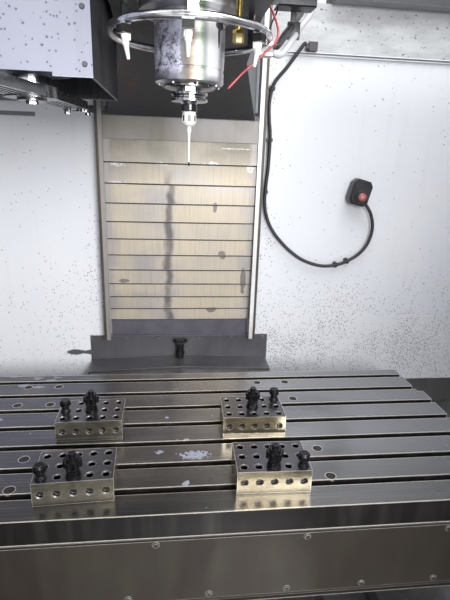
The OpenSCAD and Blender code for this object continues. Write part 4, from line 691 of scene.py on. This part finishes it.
def blockFinish(facts):
    f = Finish("setupBlockSteel")
    grind = f.noise(500.0, 2.0, 0.5, stretch=(0.03, 1.0, 0.4))
    # A painted warm reflection, gold at the right and dimmer at the left
    colour = f.mix(f.ramp(f.x, *facts["goldX"]), facts["dimReflection"], facts["goldReflection"])
    # The tops are painted dark: a painted dark reflection
    colour = f.mix(f.ramp(f.toZ, 0.4, 0.6), colour, facts["top"])
    colour = f.mix(f.ramp(f.noise(26.0, 4.0), 0.45, 0.7, 0.0, 0.5), colour, facts["smudge"])
    # Painted shade in the holes and corners
    colour = f.mix(f.ramp(f.corners(0.022, 8), 0.1, 0.6), colour, facts["holeShade"])
    # A painted highlight on the edges and hole rims
    worn = f.edges(0.0024, 6)
    colour = f.mix(f.times(worn, 0.95), colour, facts["chamferHighlight"])
    return f.finish(colour, f.blend(worn, f.ramp(grind, 0.3, 0.7, 0.20, 0.30), 0.35), 0.88, grind, 0.00003)


def smallSteelFinish(name, colour, rough, worn=(0.5, 0.5, 0.5), metal=0.85):
    f = Finish(name)
    grain = f.noise(300.0, 3.0)
    shade = f.mix(f.ramp(f.noise(40.0), 0.4, 0.65), colour, darker(colour, 0.75))
    shade = f.mix(f.times(f.edges(0.0007), 0.75), shade, worn)
    # Painted shade in the corners
    shade = f.mix(f.times(f.corners(0.006), 0.6), shade, darker(colour, 0.3))
    return f.finish(shade, f.ramp(grain, 0.3, 0.7, rough - 0.07, rough + 0.08), metal, grain, 0.00003)


# The head's dark sheet cover, with one panel of the way cover fixed along its foot and its right-facing
# facet painted lighter as lit
headFacts = {"slate": (0.046, 0.048, 0.058), "litFacet": (0.125, 0.13, 0.145), "rust": (0.16, 0.055, 0.02),
             "drip": (0.12, 0.115, 0.12), "edge": (0.42, 0.42, 0.44),
             "facetX": (0.10, 0.12), "rustX": (-0.160, -0.115), "rustZ": (1.69, 1.80),
             "panelY": 0.1645, "panelZ": 1.653, "panelDrip": (0.16, 0.14, 0.11)}


def headCoverFinish(facts):
    f = Finish("headCoverPaint")
    cloud = f.noise(3.5, 4.0)
    paint = f.mix(f.ramp(cloud, 0.35, 0.65), facts["slate"], darker(facts["slate"], 1.25))
    runs = f.ramp(f.noise(8.0, 5.0, 0.6, stretch=(7.0, 7.0, 0.4)), 0.5, 0.8)
    paint = f.mix(f.times(runs, 0.5), paint, facts["drip"])
    patches = f.ramp(f.noise(20.0, 4.0, 0.6, stretch=(1.0, 1.0, 0.5), warp=1.5), 0.50, 0.62)
    rust = f.times(patches, f.band(f.x, *facts["rustX"], 0.012), f.band(f.z, *facts["rustZ"], 0.02))
    paint = f.mix(f.times(rust, 0.75), paint, facts["rust"])
    # The right-facing facet is painted lighter: painted light on that side
    litFacet = f.times(f.ramp(f.toX, 0.3, 0.6), f.ramp(f.x, *facts["facetX"]))
    paint = f.mix(litFacet, paint, facts["litFacet"])
    panel = f.times(f.past(f.y, facts["panelY"], 0.001), f.past(f.z, facts["panelZ"], -0.0015))
    cloudy = f.ramp(f.noise(5.0, 3.0, 0.5, warp=0.6), 0.38, 0.62)
    steel = f.mix(cloudy, darker(coverFacts["grey"], 0.72), coverFacts["olive"])
    drips = f.ramp(f.noise(26.0, 4.0, 0.6, stretch=(1.0, 1.0, 0.15)), 0.5, 0.8, 0.0, 0.5)
    colour = f.mix(panel, paint, f.mix(drips, steel, facts["panelDrip"]))
    colour = f.mix(f.times(f.edges(0.0016), 0.5), colour, facts["edge"])
    rough = f.blend(panel, f.ramp(cloud, 0.3, 0.7, 0.36, 0.48), 0.45)
    return f.finish(colour, rough, f.times(panel, 0.3), f.noise(500.0, 2.0), 0.00003)


# The covers' side channels: light lips, brown grime on the posts
channelFacts = {"lipX": 0.2528, "leftLip": (0.34, 0.32, 0.31), "rightLip": (0.74, 0.73, 0.73),
                "stripX": 0.2408, "low": (0.135, 0.130, 0.160), "grimeAndShade": (0.050, 0.040, 0.033),
                "edge": (0.70, 0.69, 0.68), "cornerShade": (0.04, 0.03, 0.025)}


def channelFinish(facts):
    f = Finish("channelSteel")
    brush = f.noise(300.0, 2.0, 0.5, stretch=(1.0, 1.0, 0.02))
    streaks = f.noise(14.0, 5.0, 0.6, stretch=(3.0, 3.0, 0.25))
    lip = f.mix(f.ramp(f.x, -0.05, 0.05), facts["leftLip"], facts["rightLip"])
    lip = f.mix(f.ramp(streaks, 0.5, 0.75, 0.0, 0.45), lip, facts["grimeAndShade"])
    post = f.mix(f.ramp(streaks, 0.4, 0.7), facts["grimeAndShade"], darker(facts["grimeAndShade"], 2.2))
    colour = f.mix(f.past(f.size(f.x), facts["lipX"], 0.0008), lip, post)
    low = f.mix(f.ramp(f.noise(18.0, 4.0), 0.4, 0.7), facts["low"], darker(facts["low"], 0.75))
    colour = f.mix(f.past(f.size(f.x), facts["stripX"], -0.0005), colour, low)
    colour = f.mix(f.times(f.edges(0.0012), 0.5), colour, facts["edge"])
    # Painted shade in the corners
    colour = f.mix(f.times(f.corners(0.012), 0.6), colour, facts["cornerShade"])
    return f.finish(colour, f.ramp(streaks, 0.3, 0.7, 0.36, 0.5), 0.35, brush, 0.00003)


def plasticFinish(name, colour, rough, grain=900.0, dust=0.15):
    f = Finish(name)
    pores = f.noise(grain, 2.0)
    shade = f.mix(f.ramp(f.noise(30.0), 0.4, 0.7, 0.0, dust), colour, paler(colour, 0.12))
    shade = f.mix(f.times(f.edges(0.0008), 0.25), shade, paler(colour, 0.03, 1.6))
    return f.finish(shade, f.ramp(pores, 0.3, 0.7, rough - 0.05, rough + 0.06), 0.0, pores, 0.00004)


def rubberFinish(name, colour, rough, dusty=0.35):
    f = Finish(name)
    grain = f.noise(700.0, 3.0)
    shade = f.mix(f.ramp(f.noise(18.0, 4.0), 0.45, 0.75, 0.0, dusty), colour, paler(colour, 0.10))
    return f.finish(shade, f.ramp(grain, 0.3, 0.7, rough - 0.08, rough + 0.08), 0.0, grain, 0.00008)


# Coolant ring: polished tube, dark valve blocks, white nozzles below them, one brass plug
ringFacts = {"bright": (0.88, 0.88, 0.90), "dull": (0.40, 0.40, 0.41), "nozzleZ": 1.7204,
             "white": (0.86, 0.86, 0.83), "blockZ": 1.7325, "block": (0.018, 0.017, 0.016),
             "brassReach": 0.110, "brass": (0.30, 0.22, 0.06)}
spindleY = -0.48


# Distance from the spindle's axis
def fromSpindle(f):
    y = f.maths("ADD", f.y, -spindleY)
    return f.maths("SQRT", f.maths("ADD", f.times(f.x, f.x), f.times(y, y)))


def coolantRingFinish(facts):
    f = Finish("coolantRingSteel")
    grain = f.noise(60.0, 4.0, 0.6)
    low = f.ramp(f.z, facts["nozzleZ"] + 0.0003, facts["nozzleZ"] - 0.0003)
    brass = f.past(fromSpindle(f), facts["brassReach"] + 0.001, -0.001)
    steel = f.mix(f.ramp(grain, 0.45, 0.68), facts["bright"], facts["dull"])
    block = f.ramp(f.z, facts["blockZ"] + 0.0004, facts["blockZ"] - 0.0004)
    block = f.times(block, f.maths("SUBTRACT", 1.0, low))
    colour = f.mix(block, steel, facts["block"])
    colour = f.mix(low, colour, facts["white"])
    colour = f.mix(brass, colour, facts["brass"])
    white = f.times(low, f.maths("SUBTRACT", 1.0, brass))
    metal = f.blend(f.most(white, block), 1.0, 0.0)
    return f.finish(colour, f.blend(white, 0.2, 0.4), metal, grain, 0.0001)


# Probe: black collar, white body with dark windows, white stylus with a black ball
probeFacts = {"collarZ": 1.6206, "windowLow": 1.6046, "windowHigh": 1.6154, "windowReach": 0.0119,
              "tipZ": 1.5365, "white": (0.80, 0.80, 0.77), "black": (0.014, 0.014, 0.017)}


def probeFinish(facts):
    f = Finish("probeShell")
    pores = f.noise(600.0, 2.0)
    recess = f.past(fromSpindle(f), facts["windowReach"], -0.0004)
    window = f.times(f.band(f.z, facts["windowLow"], facts["windowHigh"], 0.0003), recess)
    dark = f.most(window, f.past(f.z, facts["collarZ"]), f.past(f.z, facts["tipZ"], -0.0004))
    colour = f.mix(f.ramp(pores, 0.3, 0.7), facts["white"], darker(facts["white"], 0.94))
    return f.finish(f.mix(dark, colour, facts["black"]), f.blend(dark, 0.34, 0.14), 0.0, pores, 0.00003)


# Doors: dark hangers and handles, a tinted pane
doorFacts = {"hangerZ": 1.9045, "handleY": -1.3062, "pane": (-1.2980, -1.2705),
             "glass": (0.045, 0.060, 0.070), "glare": (0.075, 0.095, 0.105)}


def doorFinish(name, facts=doorFacts):
    f, colour, rough, peel = paintedSheet(name, paintFacts["skin"])
    trim = f.most(f.past(f.z, facts["hangerZ"], 0.001), f.past(f.y, facts["handleY"], -0.0006))
    colour = f.mix(trim, colour, paintFacts["trimDark"])
    pane = f.times(f.band(f.y, *facts["pane"], 0.0005), f.ramp(f.size(f.toY), 0.5, 0.6))
    glass = f.mix(f.ramp(f.noise(6.0, 4.0), 0.4, 0.7), facts["glass"], facts["glare"])
    colour = f.mix(pane, colour, glass)
    peel = f.times(peel, f.maths("SUBTRACT", 1.0, pane))
    return f.finish(colour, f.blend(pane, rough, 0.07), 0.0, peel, 0.00004)


# Each zone of the pendant: its span across and up, and the place along Y where it starts
pendantFacts = {
    "capZ": 1.8102, "armY": -1.3528,
    "screen": ((0.9015, 1.2185), (1.4715, 1.7585), -1.4062, 0.0006),
    "keys": ((0.889, 1.226), (1.4155, 1.4585), -1.4090, -0.0006),
    "ring": ((1.17, 1.25), (1.22, 1.29), -1.4342, -0.0004),
    "glassZ": (1.47, 1.76), "glassLow": (0.010, 0.014, 0.020), "glassHigh": (0.030, 0.040, 0.052),
    "key": (0.07, 0.075, 0.085), "yellow": (0.72, 0.50, 0.05),
}


def pendantFinish(facts):
    f, colour, rough, peel = paintedSheet("pendantPaint", paintFacts["skin"])

    def zone(name):
        across, up, place, run = facts[name]
        return f.times(f.band(f.x, *across, 0.0004), f.band(f.z, *up, 0.0004), f.past(f.y, place, run))

    trim = f.most(f.past(f.z, facts["capZ"]), f.past(f.y, facts["armY"], 0.0006))
    colour = f.mix(trim, colour, paintFacts["trimDark"])
    screen = zone("screen")
    glass = f.mix(f.ramp(f.z, *facts["glassZ"]), facts["glassLow"], facts["glassHigh"])
    colour = f.mix(screen, colour, glass)
    colour = f.mix(zone("keys"), colour, facts["key"])
    colour = f.mix(zone("ring"), colour, facts["yellow"])
    return f.finish(colour, f.blend(screen, rough, 0.08), 0.0, peel, 0.00004)


# Dark trim on the outer skin: the frame along the roof, the beam behind, the door rails
trimFacts = {"roofZ": 2.0028, "rearY": 0.2425, "rearZ": 1.90, "rearX": 1.263, "frontY": -1.2592,
             "railZ": 1.9335, "track": (0.728, 0.775), "trackX": 0.44, "plinthZ": 0.3002}


def plinthOf(f, facts=trimFacts):
    return f.past(f.z, facts["plinthZ"], -0.0004)


def beamsOf(f, facts=trimFacts):
    rear = f.times(f.past(f.y, facts["rearY"], 0.001), f.past(f.z, facts["rearZ"], 0.015),
                   f.past(f.size(f.x), facts["rearX"], -0.0005))
    return f.most(f.past(f.z, facts["roofZ"]), rear)


def frontTrim(f, facts=trimFacts):
    outside = f.past(f.y, facts["frontY"], -0.0004)
    tracks = f.times(f.band(f.z, *facts["track"], 0.0004), f.past(f.size(f.x), facts["trackX"], 0.002))
    return f.most(f.times(outside, f.past(f.z, facts["railZ"], 0.0005)), f.times(outside, tracks))


greyCasting = castingFinish("greyCasting", castingFacts["colour"], castingFacts["worn"],
                            castingFacts["rough"])
hardSteel = smallSteelFinish("hardenedSteel", (0.42, 0.42, 0.43), 0.24, (0.62, 0.62, 0.62), 1.0)
motorBlack = plasticFinish("motorPaint", (0.020, 0.020, 0.023), 0.42, 700.0)


def hoodSteel(name, seed):
    return sheetSteelFinish(name, (0.36, 0.36, 0.36), (0.24, 0.235, 0.23), 0.32, "Y", seed)


nodeFinish = {
    "base_casting": greyCasting, "saddle": greyCasting, "arm_gearbox": greyCasting,
    "spindle_head": greyCasting,
    "levelling_pads": smallSteelFinish("padSteel", (0.12, 0.125, 0.13), 0.4),
    "column": castingFinish("columnPaint", (0.52, 0.53, 0.56), (0.36, 0.37, 0.39), 0.44),
    "guideways": hardSteel, "x_axis_drive": hardSteel, "x_ballscrew": hardSteel, "y_ballscrew": hardSteel,
    "z_ballscrew": hardSteel,
    "arm_shaft": turnedSteelFinish("armShaftSteel", (0.66, 0.66, 0.72), 0.16, 260.0),
    "servo_motors": motorBlack, "spindle_motor": motorBlack,
    "rear_walls": rearWallFinish(wallFacts),
    "rear_apron": sheetSteelFinish("rearApronSteel", (0.145, 0.143, 0.155), (0.090, 0.088, 0.098),
                                   0.42, "X", 2.0, 0.5),
    "flush_nozzle": smallSteelFinish("flushNozzleBlack", (0.03, 0.03, 0.032), 0.3, (0.28, 0.28, 0.28), 0.6),
    "z_cover_frame": channelFinish(channelFacts),
    "chip_pan": sheetSteelFinish("chipPanSteel", (0.32, 0.32, 0.32), (0.18, 0.17, 0.165), 0.4, "Y", 3.0),
    "enclosure_panels": skinFinish("enclosurePaint", beamsOf),
    "enclosure_front": skinFinish("frontPaint", frontTrim),
    "electrical_cabinet": skinFinish("cabinetPaint", plinthOf),
    "tool_changer_cover": changerCoverFinish(changerFacts),
    "probe_receiver": plasticFinish("receiverShell", (0.022, 0.022, 0.026), 0.42),
    "receiver_cable": rubberFinish("conduitCore", (0.030, 0.031, 0.034), 0.45),
    "saddle_covers": hoodSteel("saddleCoverSteel", 5.0), "y_cover_rear": hoodSteel("rearStageSteel", 6.0),
    "y_cover_front_1": hoodSteel("frontStageOneSteel", 7.0),
    "y_cover_front_2": hoodSteel("frontStageTwoSteel", 8.0),
    "table": tableFinish(tableFacts),
    "front_apron": sheetSteelFinish("frontApronSteel", (0.046, 0.040, 0.030), (0.028, 0.021, 0.018),
                                    0.50, "X", 1.0, 0.3),
    "setup_blocks": blockFinish(blockFacts),
    "block_fasteners": smallSteelFinish("blackOxide", (0.020, 0.020, 0.022), 0.24, (0.30, 0.30, 0.30), 0.7),
    "table_caps": smallSteelFinish("capSteel", (0.05, 0.048, 0.048), 0.4, (0.45, 0.43, 0.40), 0.8),
    "head_cover": headCoverFinish(headFacts),
    "spindle_housing": housingFinish(housingFacts),
    "spindle_nose": turnedSteelFinish("noseSteel", (0.30, 0.30, 0.31), 0.2, 300.0),
    "probe_holder": turnedSteelFinish("holderSteel", (0.50, 0.50, 0.51), 0.15, 300.0),
    "touch_probe": probeFinish(probeFacts),
    "coolant_ring": coolantRingFinish(ringFacts),
    "head_hoses": rubberFinish("hoseCore", (0.045, 0.046, 0.05), 0.4),
    "air_line": plasticFinish("airLineCore", (0.42, 0.045, 0.05), 0.28, dust=0.05),
    "door_left": doorFinish("leftDoorPaint"), "door_right": doorFinish("rightDoorPaint"),
    "control_pendant": pendantFinish(pendantFacts),
    "stop_button": plasticFinish("stopRed", (0.50, 0.02, 0.02), 0.25, dust=0.03),
    "jog_wheel": plasticFinish("jogBlack", (0.020, 0.020, 0.022), 0.35),
    "swing_arm": smallSteelFinish("armSteel", (0.20, 0.20, 0.205), 0.22, (0.8, 0.8, 0.8), 0.95),
    "tool_magazine": smallSteelFinish("magazineSteel", (0.34, 0.345, 0.36), 0.35, (0.5, 0.5, 0.5), 0.6),
}
panelNames = sorted(name for name in cadNodes if name.startswith("z_panel_"))
for k, name in enumerate(panelNames):
    nodeFinish[name] = coverPanelFinish("panelSteel%02d" % (k + 1), 1.3 * (k + 1))
for name, obj in cadNodes.items():
    for i in range(len(obj.material_slots)):
        obj.data.materials[i] = nodeFinish[name]
for piece, finish in ((conduit, rubberFinish("conduitRubber", (0.022, 0.023, 0.026), 0.36, 0.2)),
                      (silverHose, plasticFinish("silverHoseSkin", (0.55, 0.56, 0.58), 0.24)),
                      (blackHose, rubberFinish("blackHoseRubber", (0.020, 0.020, 0.024), 0.30)),
                      (loopWire, plasticFinish("wireSkin", (0.012, 0.012, 0.014), 0.3)),
                      (airLine, plasticFinish("airLineSkin", (0.50, 0.07, 0.08), 0.22, dust=0.05))):
    piece.data.materials.append(finish)
print("finishes done")


# A block with rounded edges: each point is the nearest inner corner plus the rounding radius times a
# direction, for directions that go round and from pole to pole
def roundedBlock(low, high, radius, around=24, upright=13):
    low, high = np.asarray(low, float) / 1000, np.asarray(high, float) / 1000
    radius /= 1000
    turn = (np.arange(around) + 0.5) * 2 * np.pi / around
    rise = (np.arange(upright + 1) / upright - 0.5) * np.pi
    direction = np.stack([np.outer(np.cos(rise), np.cos(turn)), np.outer(np.cos(rise), np.sin(turn)),
                          np.outer(np.sin(rise), np.ones(around))], axis=-1)
    points = (low + high) / 2 + np.sign(direction) * ((high - low) / 2 - radius) + radius * direction
    return points.reshape(-1, 3), closedFaces(upright + 1, around)


def joined(parts):
    verts, faces, start = [], [], 0
    for v, f in parts:
        verts.append(v)
        faces += [[start + k for k in face] for face in f]
        start += len(v)
    return np.vstack(verts), faces


# The box where the hoses end, the folded bracket and the clamp that carry them
hoseMountFacts = {
    "rounding": 0.9, "boxRounding": 4.0,
    "bracket": ((156, -440, 67), (226, -402, 70)), "lip": ((140.2, -440, 67), (226, -437, 98)),
    "box": ((140.2, -290, 291), (205, -225, 356)), "lid": ((146, -292.5, 296), (200, -289, 351)),
    "clamp": ((183, -409, 21), (206, -401, 50)), "post": ((188, -408, 46), (198, -402, 68)),
}


def hoseMounts(facts):
    parts = []
    for key in ("bracket", "lip", "box", "lid", "clamp", "post"):
        low, high = aboveRing(facts[key])
        parts.append(roundedBlock(low, high, facts["boxRounding" if key == "box" else "rounding"]))
    verts, faces = joined(parts)
    return newPiece("hoseMounts", verts, faces, "head", "grey_hose", ["head_hoses"])


hoseMounts(hoseMountFacts).data.materials.append(
    smallSteelFinish("mountPaint", (0.035, 0.035, 0.042), 0.42, (0.20, 0.20, 0.21), 0.3))


# Round screw heads along both channels: rings of points whose radius and height follow the head's
# profile, with a six-sided socket for the inner rings
screwFacts = {"radius": 0.0042, "height": 0.0026, "socket": 0.0020, "depth": 0.0016,
              "outward": (0, -1, 0), "across": 0.2685, "up": (0.976, 1.134, 1.287, 1.446, 1.600, 1.760)}


def screwHead(at, facts):
    r, h, s, d = facts["radius"], facts["height"], facts["socket"], facts["depth"]
    rings = np.array([[r, -0.0006], [r, h * 0.55], [r * 0.82, h],
                      [s * 1.15, h], [s, h - 0.0002], [s * 0.96, h - d]])
    turn = np.arange(12) * np.pi / 6
    sixSided = np.cos(np.pi / 6) / np.cos((turn[None, :] % (np.pi / 3)) - np.pi / 6)
    corner = np.where(np.arange(6)[:, None] >= 3, sixSided, 1.0)
    out = Vector(facts["outward"])
    side = np.array(out.orthogonal().normalized())
    over = np.cross(np.array(out), side)
    reach = (rings[:, 0, None] * corner)[..., None]
    circle = np.cos(turn)[None, :, None] * side + np.sin(turn)[None, :, None] * over
    points = np.array(at) + reach * circle + rings[:, 1, None, None] * np.array(out)
    return points.reshape(-1, 3), gridFaces(6, 12) + [[60 + k for k in range(12)]]


def surfaceY(node, x, z):
    hit, where, _, _ = cadNodes[node].ray_cast(Vector((x, -0.9, z)), Vector((0, 1, 0)))
    return where.y if hit else None


screwPlaces = [(side * screwFacts["across"], z) for side in (-1, 1) for z in screwFacts["up"]]
found = [(x, surfaceY("z_cover_frame", x, z), z) for x, z in screwPlaces]
verts, faces = joined([screwHead(place, screwFacts) for place in found if place[1] is not None])
newPiece("channelScrews", verts, faces, "machine", "cover_steel", smooth=False).data.materials.append(
    smallSteelFinish("screwSteel", (0.30, 0.30, 0.31), 0.25, (0.7, 0.7, 0.7)))


# Rubber lips that wipe the next panel down: a rounded profile carried straight across, fuller in the middle
wiperFacts = {"halfWidth": 0.2405, "tall": 0.0034, "reach": 0.0030, "inset": 0.0004, "drop": 0.0003,
              "cross": 10, "along": 24}


def wiperLip(node, facts):
    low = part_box(node)[0]
    turn = np.arange(facts["cross"]) * 2 * np.pi / facts["cross"]
    x = np.linspace(-facts["halfWidth"], facts["halfWidth"], facts["along"])
    fuller = 1 - 0.25 * (x / facts["halfWidth"]) ** 4
    outY, outZ = (np.abs(wave) ** 0.5 * np.sign(wave) for wave in (np.cos(turn), np.sin(turn)))
    y = low.y + facts["inset"] + facts["reach"] * (0.5 + 0.5 * outY[None, :]) + 0 * x[:, None]
    z = low.z - facts["drop"] - facts["tall"] * (0.5 + 0.5 * outZ[None, :]) * fuller[:, None]
    points = np.stack([x[:, None] + 0 * y, y, z], axis=-1).reshape(-1, 3)
    return points, closedFaces(facts["along"], facts["cross"])


wiperRubber = rubberFinish("wiperRubber", (0.035, 0.034, 0.036), 0.4)
bodyOf = {node: body for body, nodes in frame["record"]["behaviour"]["bodies"].items() for node in nodes}
for name in panelNames:
    lip = newPiece("wiper_" + name[-2:], *wiperLip(name, wiperFacts), bodyOf[name], "black_rubber")
    lip.data.materials.append(wiperRubber)


# The receiver's window: a low dome, its height falling with the square of the distance from the middle
lensFacts = {"middle": (0.5939, 0.1484, 1.4299), "radius": 0.0148, "bulge": 0.0048, "rings": 10,
             "around": 32, "lit": (0.62, 0.22, 0.20), "deep": (0.26, 0.03, 0.035), "glint": (0.9, 0.7, 0.7)}


def receiverLens(facts):
    share = np.linspace(1, 0.02, facts["rings"])[:, None]
    turn = np.arange(facts["around"])[None, :] * 2 * np.pi / facts["around"]
    x, y, z = facts["middle"]
    reach = facts["radius"] * share
    height = facts["bulge"] * (1 - share**2)
    points = np.stack([x + reach * np.cos(turn), y - height + 0 * turn, z + reach * np.sin(turn)], axis=-1)
    faces = closedFaces(facts["rings"], facts["around"])
    return newPiece("receiverLens", points.reshape(-1, 3), faces, "machine", "red_plastic")


def lensFinish(facts):
    f = Finish("receiverGlass")
    x = f.maths("SUBTRACT", f.x, facts["middle"][0])
    z = f.maths("SUBTRACT", f.z, facts["middle"][2])
    away = f.maths("SQRT", f.maths("ADD", f.times(x, x), f.times(z, z)))
    glow = f.mix(f.ramp(away, 0.002, 0.012), facts["lit"], facts["deep"])
    glow = f.mix(f.ramp(f.noise(400.0), 0.4, 0.7, 0.0, 0.2), glow, facts["glint"])
    return f.finish(glow, 0.12, 0.0, f.noise(120.0), 0.00003)


receiverLens(lensFacts).data.materials.append(lensFinish(lensFacts))
print("pieces done")

# A plain pale floor just below the pads
floorFacts = {"half": 9, "height": -0.001, "colour": (0.80, 0.80, 0.81), "tint": (0.84, 0.84, 0.85)}


def paleFloor(facts):
    half, height = facts["half"], facts["height"]
    mesh = bpy.data.meshes.new("floor")
    mesh.from_pydata([(-half, -half, height), (half, -half, height), (half, half, height),
                      (-half, half, height)], [], [(0, 1, 2, 3)])
    floor = bpy.data.objects.new("floor", mesh)
    bpy.context.scene.collection.objects.link(floor)
    f = Finish("paleFloor")
    mesh.materials.append(f.finish(f.mix(f.noise(3.0), facts["colour"], facts["tint"]), 0.6))


paleFloor(floorFacts)
